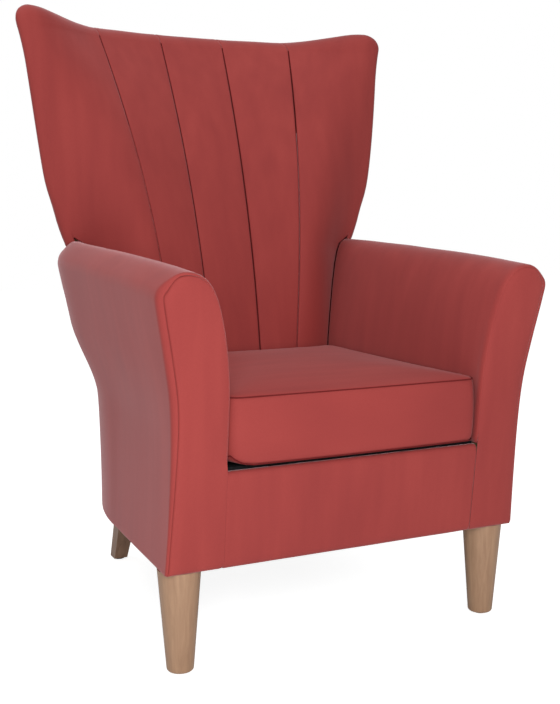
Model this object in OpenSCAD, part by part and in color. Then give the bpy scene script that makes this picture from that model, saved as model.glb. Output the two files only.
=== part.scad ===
// Fireside chair with a fan-fluted wing back, flared arms and a loose seat cushion.
// The origin is on the floor under the middle of the chair, which faces -Y, and
// left and right are as seen by someone who stands in front of it.

/* [Seat] */
// Width between the arms
seat_w = 472; // [440:2:500]
// Depth from the front of the seat to the inside back
seat_d = 482; // [450:2:510]
// Height at which the cushion meets the inside back
seat_h = 450; // [435:1:465]
// Height of the platform that the cushion lies on
platform_h = 334; // [324:1:344]
// How far the top of the front border lies below the platform
border_drop = 5; // [2:1:14]
// Height of the legs, up to the underside of the body
leg_h = 170; // [140:2:190]

/* [Cushion] */
// Thickness of the cushion at its seams
cushion_t = 110; // [90:1:118]
// How far the middle of the cushion swells above its seam
cushion_crown = 14; // [6:1:24]
// How far the cushion front stands in front of the border
cushion_nose = 7; // [2:1:12]
// Corner radius of the cushion at the front
cushion_corner_r = 24; // [14:1:40]

/* [Arms] */
// Height of the arms at their front
arm_h = 636; // [615:1:660]
// How much higher the arms are where they meet the wings
arm_rise = 35; // [25:1:50]
// Width of an arm across its widest part
arm_w = 122; // [112:1:136]
// How far the arm fronts stand forward of the seat front at the top
arm_overhang = 42; // [20:1:50]
// Lean of the arm fronts, in degrees
arm_lean = 6.56; // [4:0.01:8]
// How far the arm face panel is set in from the arm cover
facing_inset = 4; // [3:0.5:8]

/* [Back] */
// Height of the middle of the back
back_h = 1108; // [1060:1:1150]
// How much higher the two ears stand than the middle of the back
ear_rise = 20; // [5:1:35]
// Thickness of the body behind the foot of the inside back
back_base_d = 138.9; // [130:0.1:150]
// Thickness of the body behind the middle of the top edge
back_top_d = 65; // [60:1:80]
// Lean of the inside back at the seat, in degrees
back_lean = 10.67; // [8.7:0.01:12]
// Radius in which the inside back bends away towards the top
bow_r = 1819; // [1600:1:2400]
// Depth by which the middle of the back lies behind the outer seams
hollow_d = 42; // [25:1:50]
// Width between the outer edges of the two wings at the arms
wing_low_w = 650; // [630:2:670]
// Width between the outer edges of the two wings just under the ears
wing_top_w = 798; // [740:2:830]
// How far behind the foot of the inside back the edge of the wings lies
wing_d = 104; // [90:1:112]
// Width of the flat outside back
outside_back_w = 450; // [430:2:470]
// Thickness of the body at the wings' edges
wing_edge_t = 44; // [40:1:56]
// Rise of the padding between two seams of the inside back
flute_crown = 8; // [3:0.5:12]

/* [Legs] */
// Distance from the middle of the chair to the middle of a front leg
front_leg_x = 293; // [284:1:298]
// Distance from the front of the seat to the middle of a front leg
front_leg_d = 50; // [48:1:56]
// Radius of a front leg at its top
front_leg_top_r = 35; // [28:0.5:37]
// Radius of a front leg at its foot
front_leg_foot_r = 22; // [17:0.5:26]
// Distance from the middle of the chair to the middle of a rear leg's top
rear_leg_x = 192; // [188:1:196]
// How far behind the foot of the inside back the middle of a rear leg's top lies
rear_leg_d = 110; // [106:1:114]
// How far a rear leg rakes back from its top to its foot
rear_leg_rake = 52; // [20:1:70]
// How far a rear leg splays outwards from its top to its foot
rear_leg_splay = 12; // [0:1:20]
// Side of a rear leg at its top
rear_leg_top_w = 42; // [36:1:44]
// Side of a rear leg at its foot
rear_leg_foot_w = 28; // [22:1:34]

/* [Padding] */
// Thickness of the cover cloth
cover_t = 2.5; // [1.5:0.1:3.5]
// Thickness of the foam on the arms
arm_foam_t = 12; // [8:0.5:16]
// Thickness of the padding on the arm faces and the front border
face_pad_t = 14; // [10:0.5:18]
// Thickness of the filling sewn into each flute
flute_t = 24; // [18:0.5:28]
// Thickness of the foam behind the middle flute
back_foam_t = 22; // [16:1:30]
// Thickness of the pad over the seat springs
spring_pad_t = 18; // [12:1:22]

/* [Frame] */
// Thickness of the arm fronts' plywood
face_board_t = 18; // [15:0.5:22]
// Thickness of the seat rails
rail_t = 28; // [22:1:32]
// How far the top of the seat rails lies below the platform
rail_drop = 30; // [28:1:42]
// Thickness of the plates that the legs bolt to
plate_t = 18; // [15:0.5:22]
// Width of a back post
post_w = 40; // [34:1:44]
// Diameter of the dowels in the frame's joints
dowel_d = 10; // [8:0.5:12]
// Length of the dowels
dowel_l = 50; // [40:1:60]
// Diameter of the bolts that hold the legs
bolt_d = 8; // [6:0.5:10]
// Number of zigzag springs across the seat
spring_count = 5; // [4:1:6]
// Diameter of the spring wire
spring_wire_d = 3.8; // [3:0.1:4.5]

/* [Hidden] */

// Clearances and small sizes
seat_gap = 0.3;
cloth_gap = 0.05;
pin_gap = 0.2;
overrun = 2;
round_fn = 32;
facing_crown = 3;

// Heights
border_top_h = platform_h - border_drop;
rail_top_h = platform_h - rail_drop;
waist_share = 0.46;
waist_h = mix(leg_h, arm_h, waist_share);
glide_t = 3;
plate_top_h = leg_h + plate_t;
wing_low_h = arm_h + arm_rise - cover_t;

// Places along Y, with the middle of the whole depth at zero
back_run = tan(back_lean) * (back_h - seat_h) + pow(back_h - seat_h, 2) / bow_r / 2;
rear_slope = (back_run + back_top_d - back_base_d) / (back_h - seat_h);
whole_d = facing_crown + arm_overhang + seat_d + back_run + back_top_d;
seat_front_y = facing_crown + arm_overhang - whole_d / 2;
seat_back_y = seat_front_y + seat_d;
wing_y = seat_back_y + wing_d;
rear_base_y = seat_back_y + back_base_d;

// Cloth, foam and timber colours
cover_colour = [0.60, 0.24, 0.24];
seam_colour = [0.50, 0.19, 0.19];
black_colour = [0.10, 0.10, 0.11];
beech_colour = [0.74, 0.61, 0.48];
rear_leg_colour = [0.55, 0.44, 0.34];
ply_colour = [0.80, 0.70, 0.52];
foam_colour = [0.93, 0.88, 0.70];
steel_colour = [0.62, 0.63, 0.65];
felt_colour = [0.35, 0.35, 0.36];

// Small helpers
function clamp(v, low = 0, high = 1) = max(low, min(high, v));
function mix(a, b, s) = a + (b - a) * s;
function ease(v) = let (s = clamp(v)) s * s * (3 - 2 * s);
function last(list) = list[len(list) - 1];

// A smooth curve through control points, with `steps` pieces from each to the next
function knot(points, i) = points[clamp(i, 0, len(points) - 1)];
function curve_point(a, b, c, d, s) =
    0.5 * ((2 * b) + (c - a) * s + (2 * a - 5 * b + 4 * c - d) * s * s
        + (3 * b - a - 3 * c + d) * s * s * s);
function curve(points, steps) = [
    for (i = [0 : len(points) - 2], k = [0 : steps - 1])
        curve_point(
            knot(points, i - 1), knot(points, i), knot(points, i + 1), knot(points, i + 2), k / steps
        ),
    last(points),
];

// Sideways step of each point of a flat open line, to its left by `d`
function line_normal(line, i) =
    let (
        a = line[max(0, i - 1)],
        b = line[min(len(line) - 1, i + 1)],
        run = [b[0] - a[0], b[1] - a[1]]
    )
    [-run[1], run[0]] / norm(run);
function shifted(line, d) = [for (i = [0 : len(line) - 1]) line[i] + d * line_normal(line, i)];

// Faces of one sheet of a grid with n rows of m points
function sheet_faces(n, m, base, turned) = [
    for (i = [0 : n - 2], j = [0 : m - 2])
        let (a = base + i * m + j, b = a + 1, c = a + m + 1, d = a + m)
        each (turned ? [[a, b, c], [a, c, d]] : [[a, c, b], [a, d, c]]),
];

// The edge of that grid as one loop
function edge_loop(n, m) = concat(
    [for (j = [0 : m - 1]) j],
    [for (i = [1 : n - 1]) i * m + m - 1],
    [for (j = [m - 2 : -1 : 0]) (n - 1) * m + j],
    [for (i = [n - 2 : -1 : 1]) i * m]
);
// The rim between two such sheets, split the same way on both pieces that share it
function rim_faces(n, m) =
    let (loop = edge_loop(n, m), o = n * m, k = len(loop))
    [for (i = [0 : k - 1])
        let (a = loop[i], b = loop[(i + 1) % k])
        each (a < b ? [[a, b, b + o], [a, b + o, a + o]] : [[a, b, a + o], [b, b + o, a + o]])];

// A closed pad between two grids of points, the near one and the far one
module pad(near, far) {
    n = len(near);
    m = len(near[0]);
    polyhedron(
        points = concat([for (row = near) each row], [for (row = far) each row]),
        faces = concat(sheet_faces(n, m, 0, false), sheet_faces(n, m, n * m, true), rim_faces(n, m))
    );
}

// A closed form through a row of closed rings with m points each
module loft(rings) {
    n = len(rings);
    m = len(rings[0]);
    polyhedron(
        points = [for (ring = rings) each ring],
        faces = concat(
            [for (i = [0 : n - 2], j = [0 : m - 1])
                let (a = i * m + j, b = i * m + (j + 1) % m, c = b + m, d = a + m)
                each [[a, b, c], [a, c, d]]],
            [[for (j = [m - 1 : -1 : 0]) j]],
            [[for (j = [0 : m - 1]) (n - 1) * m + j]]
        )
    );
}

// A straight timber between two level rectangles, given by their low and high corners
module timber(low_a, high_a, z_a, low_b, high_b, z_b) {
    loft([
        [[low_b[0], low_b[1], z_b], [high_b[0], low_b[1], z_b],
            [high_b[0], high_b[1], z_b], [low_b[0], high_b[1], z_b]],
        [[low_a[0], low_a[1], z_a], [high_a[0], low_a[1], z_a],
            [high_a[0], high_a[1], z_a], [low_a[0], high_a[1], z_a]],
    ]);
}

// Copies a right-hand piece to the left
module to_left() {
    mirror([1, 0, 0])
        children();
}

// The plane of the arm fronts and the border leans forwards with height
function face_y(z) = seat_front_y - arm_overhang + (arm_h - z) * tan(arm_lean);

// The outside back is upright up to the seat and then leans back
function rear_y(z) = rear_base_y + max(0, z - seat_h) * rear_slope;

// The inside back, as a place along Y for each x and z
function up_share(z) = (z - seat_h) / (back_h - seat_h);
function middle_y(z) =
    let (bent = max(0, z - seat_h))
    seat_back_y + tan(back_lean) * (z - seat_h) + bent * bent / bow_r / 2;
inner_seam_low_x = 54;
inner_seam_top_x = 71;
outer_seam_low_x = 138;
outer_seam_top_x = 218;
function inner_seam_x(z) = mix(inner_seam_low_x, inner_seam_top_x, pow(max(0, up_share(z)), 1.5));
function outer_seam_x(z) = mix(outer_seam_low_x, outer_seam_top_x, pow(max(0, up_share(z)), 1.35));
hollow_peak_share = 0.72;
function hollow(z) =
    let (t = max(0, up_share(z)), s = (t - hollow_peak_share) / hollow_peak_share)
    hollow_d * (1 - s * s);

// The wings' edges: half width, place along Y and half thickness
wing_swell = 25;
wing_swell_h = 60;
wing_bow = 27;
wing_bow_rise = 111.5;
wing_bow_low_h = wing_low_h + wing_bow_rise;
wing_under_run = 33;
function wing_x(z) =
    let (
        rise = max(0, z - wing_low_h),
        top = back_h + ear_rise - wing_low_h,
        straight = (wing_top_w - wing_low_w) / 2 - wing_swell
    )
    wing_low_w / 2 + straight * rise / top + wing_swell * (1 - exp(-rise / wing_swell_h));
function wing_edge_y(z) =
    let (s = (max(z, wing_low_h) - wing_bow_low_h) / (back_h - wing_bow_low_h))
    wing_y + wing_bow * s * s - wing_under_run * max(0, wing_low_h - z) / (wing_low_h - seat_h);
edge_r = wing_edge_t / 2;

// The fold runs round the edge of the back, and draws in at the corner of each ear
top_fold_h = 24;
top_h = back_h - top_fold_h;
ear_round_d = 26;
ear_round_in = 7;
function ear_round(d) = ear_round_in * ease(1 - d / ear_round_d);
function fold_x(z) = wing_x(max(z, wing_low_h)) - edge_r - ear_round(top_h - z);
function inside_y(x, z) =
    let (
        w = abs(x),
        seam_x = outer_seam_x(z),
        dip = hollow(z),
        run = fold_x(z) - seam_x,
        s = clamp((w - seam_x) / run),
        seam_y = middle_y(z) - dip,
        slope = -2 * dip / seam_x,
        s2 = s * s,
        s3 = s2 * s
    )
    w <= seam_x
        ? middle_y(z) - dip * w * w / seam_x / seam_x
        : seam_y * (2 * s3 - 3 * s2 + 1) + run * slope * (s3 - 2 * s2 + s)
            + (wing_edge_y(z) - edge_r) * (3 * s2 - 2 * s3);

// The top edge rises towards the ears, and its fold is a little lower than the top
ear_start_x = 214;
ear_x = wing_top_w / 2 - edge_r;
ear_power = 2;
function fold_h(x) =
    top_h + ear_rise * pow(clamp((abs(x) - ear_start_x) / (ear_x - ear_start_x)), ear_power)
        - ear_round(fold_x(top_h) - abs(x));

post_back_d = face_pad_t + face_board_t;

// The arms: a closed profile seen from the front, in shares of their width and height
arm_shares = [
    [0, 0.345], [0, 0.49], [0.008, 0.64], [0.06, 0.79], [0.152, 0.895], [0.28, 0.964], [0.46, 0.997],
    [0.68, 1], [0.865, 0.97], [0.967, 0.925], [0.95, 0.87], [0.83, 0.716], [0.75, 0.576], [0.725, 0.407],
    [0.74, 0.174], [0.77, 0],
];
arm_steps = 2;
arm_in_x = seat_w / 2;
arm_skin = [
    for (p = curve(arm_shares, arm_steps)) [arm_in_x + arm_w * p[0], leg_h + (arm_h - leg_h) * p[1]],
];
arm_rows = 9;
arm_crest_col = 16;
arm_last_col = len(arm_skin) - 1;
function arm_upper(z) = ease((z - waist_h) / (arm_h - waist_h));

// The sides of the body draw in towards the outside back, from places in front of the
// foot of the inside back
side_turn_low_d = 182;
side_turn_high_d = 72;
turn_low_power = 2;
turn_high_power = 3;
side_flare = 10;
side_draw = 14;
arm_splay = 10;
arm_taper = 14;
arm_tail_d = 118;
arm_run_d = seat_d + arm_tail_d;
function turn_y(z) =
    seat_back_y - mix(side_turn_low_d, side_turn_high_d, clamp((z - leg_h) / (arm_h - leg_h)));
function along_share(y, z) = clamp((y - face_y(z)) / arm_run_d);
function side_upper(z) = ease(2 * (z - waist_h) / (arm_h - waist_h));
function rear_end_y(z) = rear_y(z + arm_rise * arm_upper(z));
function turn_share(y, z) =
    pow(
        max(0, (y - turn_y(z)) / (rear_end_y(z) - turn_y(z))),
        mix(turn_low_power, turn_high_power, side_upper(z))
    );
function side_step(x, y, z, depth) =
    let (
        along = along_share(y, z),
        upper = side_upper(z),
        flared = x + side_flare * along * upper - side_draw * (1 - upper) * min(1, 2 * along)
    )
    mix(flared, outside_back_w / 2 - depth, turn_share(y, z)) - x;
outer_share_w = 0.75;
function arm_outer_share(p) = ease((p[0] - arm_in_x) / arm_w / outer_share_w);
rise_shares = [[0, 0], [0.16, 0.25], [0.35, 0.46], [0.6, 0.69], [1, 1]];
function arm_at(p, y, depth = 0) =
    let (
        along = along_share(y, p[1]),
        up = arm_upper(p[1]),
        outer = arm_outer_share(p) * (p[1] > waist_h || p[0] > arm_in_x + arm_w / 2 ? 1 : 0),
        inner_step = along * mix(-arm_taper, arm_splay, up)
    )
    [
        p[0] + mix(inner_step, side_step(p[0], y, p[1], depth), outer),
        y,
        p[1] + arm_rise * lookup(along, rise_shares) * up,
    ];

// Where a line along the arm meets the inside back
function meet_y(p, y, tries) =
    tries == 0 ? y : let (q = arm_at(p, y)) meet_y(p, inside_y(min(q[0], fold_x(q[2])), q[2]), tries - 1);
function arm_end_y(p) = meet_y(p, seat_back_y, 6);

// Arm sheets: rows along the arm, columns round its profile, at a depth under the skin.
// They end a small gap before the inside back.
arm_end_gap = 1.2;
function arm_lines(depth) = shifted(arm_skin, -depth);
function arm_row_y(front, end, i) =
    i == 0 ? front
    : i == 1 ? front + face_pad_t
    : i == 2 ? front + post_back_d + seat_gap
    : mix(front, end, (i - 2) / (arm_rows - 2));
function arm_point(depth, c, i) =
    let (p = arm_lines(depth)[c])
    arm_at(p, arm_row_y(face_y(p[1]), arm_end_y(arm_skin[c]), i), depth);
function arm_end_point(depth, c) =
    let (a = arm_point(depth, c, arm_rows - 1), b = arm_point(depth, c, arm_rows))
    mix(b, a, arm_end_gap / (b[1] - a[1]));
function arm_grid(depth, first_row, from, to) = concat(
    [for (i = [first_row : arm_rows - 1]) [for (c = [from : to]) arm_point(depth, c, i)]],
    [[for (c = [from : to]) arm_end_point(depth, c)]]
);

module cover_cloth() {
    color(cover_colour)
        children();
}
module beech() {
    color(beech_colour)
        children();
}
module ply() {
    color(ply_colour)
        children();
}
module foam() {
    color(foam_colour)
        children();
}
module steel() {
    color(steel_colour)
        children();
}

// The crest line parts the inside arm from the outside arm, and passes the wing's edge
arm_seam_y = arm_end_y(arm_skin[arm_crest_col]);
crest = arm_skin[arm_crest_col];
wing_low_share = pow(
    (crest[0] + side_flare - fold_x(wing_low_h)) / (crest[0] + side_flare - outside_back_w / 2),
    1 / turn_high_power
);
wing_low_y = mix(turn_y(crest[1]), rear_end_y(crest[1]), wing_low_share);
wing_low = arm_at(crest, wing_low_y);
rear_rows = 4;
function rear_share(i) =
    i == 0
        ? 0
        : mix(
            (wing_low_y - arm_seam_y) / (rear_end_y(crest[1]) - arm_seam_y),
            1,
            (i - 1) / (rear_rows - 1)
        );
module inside_arm() {
    cover_cloth()
        pad(arm_grid(0, 0, 0, arm_crest_col), arm_grid(cover_t, 0, 0, arm_crest_col));
}

function outside_arm_point(depth, c, i) =
    let (
        p = arm_lines(depth)[c],
        z = c == arm_last_col ? leg_h : p[1],
        y = i <= arm_rows
            ? arm_row_y(face_y(z), arm_seam_y, i)
            : mix(arm_seam_y, rear_end_y(z), rear_share(i - arm_rows))
    )
    arm_at([p[0], z], y, depth);
function outside_arm_grid(depth) = [
    for (i = [0 : arm_rows + rear_rows]) [
        for (c = [arm_crest_col : arm_last_col]) outside_arm_point(depth, c, i),
    ]
];
module outside_arm() {
    cover_cloth()
        pad(outside_arm_grid(0), outside_arm_grid(cover_t));
}

// Foam under the inside arm
arm_skin_t = cover_t + arm_foam_t;
module arm_foam() {
    foam()
        pad(
            arm_grid(cover_t, 1, 0, arm_crest_col),
            arm_grid(arm_skin_t, 1, 0, arm_crest_col)
        );
}

// Lining board that carries the foam of the inside arm
arm_board_t = 4;
arm_board_col_count = 8;
module arm_board() {
    ply()
        pad(
            arm_grid(arm_skin_t, 2, 0, arm_board_col_count),
            arm_grid(arm_skin_t + arm_board_t, 2, 0, arm_board_col_count)
        );
}

// The face of an arm: an outline in the leaning plane, at a depth under the skin
facing_lap = 10;
border_half_w = arm_in_x + facing_lap;
facing_low_col = 1;
side_line = [for (c = [arm_last_col : -1 : arm_last_col - 3]) [arm_skin[c][1], arm_skin[c][0]]];
function facing_outline(depth, outer_depth, low_x, low_z) = concat(
    [for (c = [facing_low_col : arm_last_col - 1])
        arm_skin[c] - (c > arm_crest_col ? outer_depth : depth) * line_normal(arm_skin, c)],
    [[lookup(low_z, side_line) - outer_depth, low_z], [low_x, low_z], [low_x, border_top_h + overrun]]
);
function inset_ring(ring, d) =
    let (n = len(ring))
    [for (i = [0 : n - 1])
        let (a = ring[(i + n - 1) % n], b = ring[(i + 1) % n], run = [b[0] - a[0], b[1] - a[1]])
        ring[i] - d * [-run[1], run[0]] / norm(run)];
function face_ring(ring, depth) = [for (p = ring) [p[0], face_y(p[1]) + depth, p[1]]];
facing_round_d = 3;
facing_crown_d = 18;
half_crown_share = 0.6;
module arm_facing() {
    edge = facing_outline(facing_inset, facing_inset, border_half_w, leg_h);
    cover_cloth()
        loft([
            face_ring(edge, face_pad_t),
            face_ring(edge, facing_round_d),
            face_ring(inset_ring(edge, facing_round_d), 0),
            face_ring(inset_ring(edge, facing_crown_d / 2), -facing_crown * half_crown_share),
            face_ring(inset_ring(edge, facing_crown_d), -facing_crown),
        ]);
}

// The plywood front post behind it has the same outline, inside the cover and the foam
module front_post() {
    edge = facing_outline(
        arm_skin_t + seat_gap, cover_t + 2 * seat_gap, arm_in_x + arm_skin_t + seat_gap, plate_top_h
    );
    ply()
        difference() {
            loft([for (d = [post_back_d, face_pad_t]) [for (p = edge) arm_at(p, face_y(p[1]) + d)]]);
            dowels(dowel_d + pin_gap);
            leg_nut_room();
        }
}

// The front border closes the body under the cushion, between the two arm faces
border_round_r = 9;
border_side_round_d = 2;
border_round_shares = [[0, 0.55], [0.33, 0.17], [1, 0]];
border_row_shares = [0.25, 0.5, 0.75];
border_side_shares = [-1, -0.96, -0.5, 0, 0.5, 0.96, 1];
border_rows = concat(
    [for (p = border_round_shares) [leg_h + border_round_r * p[0], border_round_r * p[1]]],
    [for (s = border_row_shares) [mix(leg_h, border_top_h, s), -facing_crown * half_crown_share]],
    [for (i = [len(border_round_shares) - 1 : -1 : 0])
        let (p = border_round_shares[i]) [border_top_h - border_round_r * p[0], border_round_r * p[1]]]
);
function border_front(s, row) = face_y(row[0]) + (abs(s) == 1 ? max(row[1], border_side_round_d) : row[1]);
module front_border() {
    cover_cloth()
        pad(
            [for (row = border_rows) [for (s = border_side_shares)
                [s * border_half_w, border_front(s, row), row[0]]]],
            [for (row = border_rows) [for (s = border_side_shares)
                [s * border_half_w, face_y(row[0]) + face_pad_t, row[0]]]]
        );
}

// Rows of the inside back, from the platform to the fold under the top edge
back_rows = 14;
function row_h(i) = mix(platform_h, top_h, i / back_rows);
arm_meet = [
    for (c = [0 : arm_crest_col - 2]) let (q = arm_at(arm_skin[c], arm_end_y(arm_skin[c]))) [q[2], q[0]],
];
flute_edge_gap = 1;
function flute_edge_x(z) =
    z < wing_low_h ? min(lookup(z, arm_meet) - flute_edge_gap, fold_x(z)) : fold_x(z);

// Padding between two seams: its front swells, and its back follows the foam
flute_cols = 6;
fade_rows = 2;
function flute_grid(low, high, crown, depth) = [
    for (i = [0 : back_rows]) [
        for (j = [0 : flute_cols])
            let (
                u = j / flute_cols,
                level = row_h(i),
                x = mix(seam_x(low, level), seam_x(high, level), u),
                z = mix(platform_h, fold_h(x), i / back_rows),
                fade = ease((back_rows - i) / fade_rows)
            )
            [x, inside_y(x, z) + depth - crown * fade * sin(180 * u), z]
    ]];

// The seams that part the flutes, with minus signs on the left: an inner and an outer
// one on each side, and the line where the padding meets the wing's edge
inner_seam = 1;
outer_seam = 2;
edge_seam = 3;
function seam_x(seam, z) =
    let (k = abs(seam))
    sign(seam) * (k == inner_seam ? inner_seam_x(z) : k == outer_seam ? outer_seam_x(z) : flute_edge_x(z));
module flute(low, high) {
    cover_cloth()
        pad(flute_grid(low, high, flute_crown, 0), flute_grid(low, high, 0, flute_t));
}

// Foam behind the flutes, on webbing between the posts and on boards in the wings
web_t = 2;
post_d = 62;
wing_board_t = 12;
web_line = [for (i = [0 : back_rows]) let (z = row_h(i))
    [z, max(middle_y(z) + flute_t + back_foam_t, rear_y(z) - cover_t - post_d)]];
function web_y(z) = lookup(z, web_line);
post_out_x = outside_back_w / 2 - cover_t;
post_in_x = post_out_x - post_w;
function outside_y(x, z) =
    abs(x) <= post_out_x
        ? rear_y(z)
        : mix(rear_y(z), wing_edge_y(z) + edge_r, (abs(x) - post_out_x) / (fold_x(z) - post_out_x));
foam_gap = 1;
arm_room = 6;
function foam_back_y(x, z) = min(
    web_y(z) - (abs(x) > post_in_x ? seat_gap : 0),
    outside_y(x, z) - cover_t - wing_board_t - (z < row_h(wing_first_row) ? arm_room : foam_gap)
);
flute_seams = [-edge_seam, -outer_seam, -inner_seam, inner_seam, outer_seam, edge_seam];
module back_foam() {
    near = [for (i = [0 : back_rows]) [
        for (k = [1 : len(flute_seams) - 1], j = [(k == 1 ? 0 : 1) : flute_cols])
            flute_grid(flute_seams[k - 1], flute_seams[k], 0, flute_t)[i][j],
    ]];
    foam()
        pad(near, [for (row = near) [for (p = row) [p[0], foam_back_y(p[0], p[2]), p[2]]]]);
}

// Webbing between the posts, in bands that each span one row of the padding: one below
// the lumbar rail, and one in every second row between it and the crest rail
lumbar_row_count = ceil((seat_h - platform_h) * back_rows / (top_h - platform_h));
crest_row_count = back_rows - 1;
function is_web(i) = i == 1 || (i > lumbar_row_count && i < crest_row_count && i % 2 == 0);
module back_webbing() {
    color(black_colour)
        for (i = [for (k = [0 : back_rows]) if (is_web(k)) k]) {
            z = row_h(i);
            top_z = row_h(i + 1);
            timber(
                [-post_out_x, web_y(z)], [post_out_x, web_y(z) + web_t], z,
                [-post_out_x, web_y(top_z)], [post_out_x, web_y(top_z) + web_t], top_z
            );
        }
}

// Stations round the edge of the back, each with its x, its height and the places
// along Y of the inside and the outside
wing_first_row = ceil((wing_low_h + top_fold_h / 2 - platform_h) * back_rows / (top_h - platform_h));
top_xs = concat(
    [for (j = [0 : flute_cols / 2 - 1]) 2 * j / flute_cols * inner_seam_x(top_h)],
    [for (j = [0 : flute_cols - 1]) mix(inner_seam_x(top_h), outer_seam_x(top_h), j / flute_cols)],
    [for (j = [0 : flute_cols - 1]) mix(outer_seam_x(top_h), fold_x(top_h), j / flute_cols)]
);
function station(x, z) = [x, z, inside_y(x, z), outside_y(x, z)];
function side_station(i) =
    let (x = flute_edge_x(row_h(i)))
    station(x, mix(platform_h, fold_h(x), i / back_rows));
low_station = [wing_low[0], wing_low[2], inside_y(wing_low[0], wing_low[2]), wing_low_y];
corner = side_station(back_rows);
corner_d = 16;
function near_corner(other, d) = mix(corner, other, d / norm([other[0] - corner[0], other[1] - corner[1]]));
top_end = station(last(top_xs), fold_h(last(top_xs)));
side_top = side_station(back_rows - 1);
low_bulge_share = 0.6;
corner_turn = 15;

// The rounded edge as half-round sections: a station, the angle its bulge points at
// and the share of the bulge
roll_line = concat(
    [for (x = top_xs) [station(x, fold_h(x)), 90, 1]],
    [[near_corner(top_end, corner_d), 90 - corner_turn, 1]],
    [[near_corner(top_end, corner_d / 2), 90 - 2 * corner_turn, 1]],
    [[corner, 3 * corner_turn, 1]],
    [[near_corner(side_top, corner_d / 2), 2 * corner_turn, 1]],
    [[near_corner(side_top, corner_d), corner_turn, 1]],
    [for (i = [back_rows - 1 : -1 : wing_first_row]) [side_station(i), 0, 1]],
    [[low_station, 0, low_bulge_share]]
);
roll_steps = 6;
function roll_section(line) =
    let (
        p = line[0],
        front = [p[0], p[2], p[1]],
        rear = [p[0], p[3], p[1]],
        bulge = line[2] * mix(edge_r, top_fold_h, line[1] / 90) * [cos(line[1]), 0, sin(line[1])]
    )
    [for (k = [0 : roll_steps]) let (a = 180 * k / roll_steps)
        (front + rear) / 2 + cos(a) * (front - rear) / 2 + sin(a) * bulge];
function mirrored(points) = [for (p = points) [-p[0], p[1], p[2]]];
module back_edge_roll() {
    half = [for (p = roll_line) roll_section(p)];
    cover_cloth()
        loft(concat(
            [for (i = [len(half) - 1 : -1 : 1]) mirrored(half[i])],
            half
        ));
}

// The flat outside of the back
module outside_back() {
    rows = [leg_h, seat_h, top_h];
    sides = [-post_out_x, 0, post_out_x];
    cover_cloth()
        pad(
            [for (z = rows) [for (x = sides) [x, rear_y(z) - cover_t, z]]],
            [for (z = rows) [for (x = sides) [x, rear_y(z), z]]]
        );
}

// The outside of a wing, from the crest of the arm to the fold under the top edge
wing_xs = concat([post_out_x], [for (x = top_xs) if (x > post_out_x) x], [corner[0]]);
wing_cols = len(wing_xs) - 1;
function wing_share(j) = (wing_xs[j] - post_out_x) / (corner[0] - post_out_x);
function wing_foot(j, depth) =
    let (
        t = (1 - wing_share(j)) * (rear_rows - 1) + 1,
        i = min(floor(t), rear_rows - 1),
        c = arm_crest_col
    )
    mix(
        outside_arm_point(depth, c, arm_rows + i),
        outside_arm_point(depth, c, arm_rows + i + 1),
        t - i
    );
function wing_point(i, j, depth) =
    let (
        edge = side_station(i),
        x = mix(post_out_x, edge[0], wing_share(j)),
        rise = (edge[1] - low_station[1]) / (corner[1] - low_station[1]),
        z = j == wing_cols ? edge[1] : mix(wing_foot(j, 0)[2], fold_h(wing_xs[j]), rise)
    )
    [x, outside_y(x, z) - depth, z];
function outside_wing_grid(depth) = concat(
    [[for (j = [0 : wing_cols]) wing_foot(j, depth)]],
    [for (i = [wing_first_row : back_rows]) [for (j = [0 : wing_cols]) wing_point(i, j, depth)]]
);
wing_board_low_share = 0.25;
function wing_board_grid(depth) = concat(
    [[for (j = [0 : wing_cols])
        mix(wing_foot(j, 0), wing_point(wing_first_row, j, 0), wing_board_low_share) - [0, depth, 0]]],
    [for (i = [wing_first_row : back_rows]) [for (j = [0 : wing_cols]) wing_point(i, j, depth)]]
);
module outside_wing() {
    cover_cloth()
        pad(outside_wing_grid(cover_t), outside_wing_grid(0));
}

// The board in a wing, which starts a little above the arm
module wing_board() {
    ply()
        pad(wing_board_grid(cover_t + wing_board_t), wing_board_grid(cover_t));
}

// Back posts: sawn boards with an upright foot, a curved front and a leaning back
module back_post() {
    rows = concat([plate_top_h], [for (i = [0 : back_rows]) row_h(i)]);
    side = concat(
        [for (z = rows) [web_y(max(z, platform_h)) + web_t, z]],
        [[rear_y(top_h) - cover_t, top_h], [rear_y(seat_h) - cover_t, seat_h]],
        [[rear_y(leg_h) - cover_t, plate_top_h]]
    );
    beech()
        difference() {
            translate([post_in_x, 0, 0])
                rotate([90, 0, 90])
                    linear_extrude(post_w)
                        polygon(side);
            dowels(dowel_d + pin_gap);
            leg_nut_room();
        }
}

// The front seat rail leans with the border and runs between the front posts
module front_seat_rail() {
    x = arm_in_x + arm_skin_t - arm_taper * post_back_d / arm_run_d;
    low = face_y(plate_top_h) + face_pad_t + cloth_gap;
    high = face_y(rail_top_h) + face_pad_t + cloth_gap;
    beech()
        difference() {
            timber([-x, low], [x, low + rail_t], plate_top_h, [-x, high], [x, high + rail_t], rail_top_h);
            dowels(dowel_d + pin_gap);
        }
}

// The rear seat rail is lower, and runs between the back posts
rear_rail_room = 31;
rear_rail_h = rail_top_h - plate_top_h - rear_rail_room;
rear_rail_y = web_y(platform_h) + web_t;
module rear_seat_rail() {
    beech()
        difference() {
            translate([-post_in_x, rear_rail_y, rail_top_h - rear_rail_h])
                cube([2 * post_in_x, rail_t, rear_rail_h]);
            dowels(dowel_d + pin_gap);
        }
}

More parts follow.
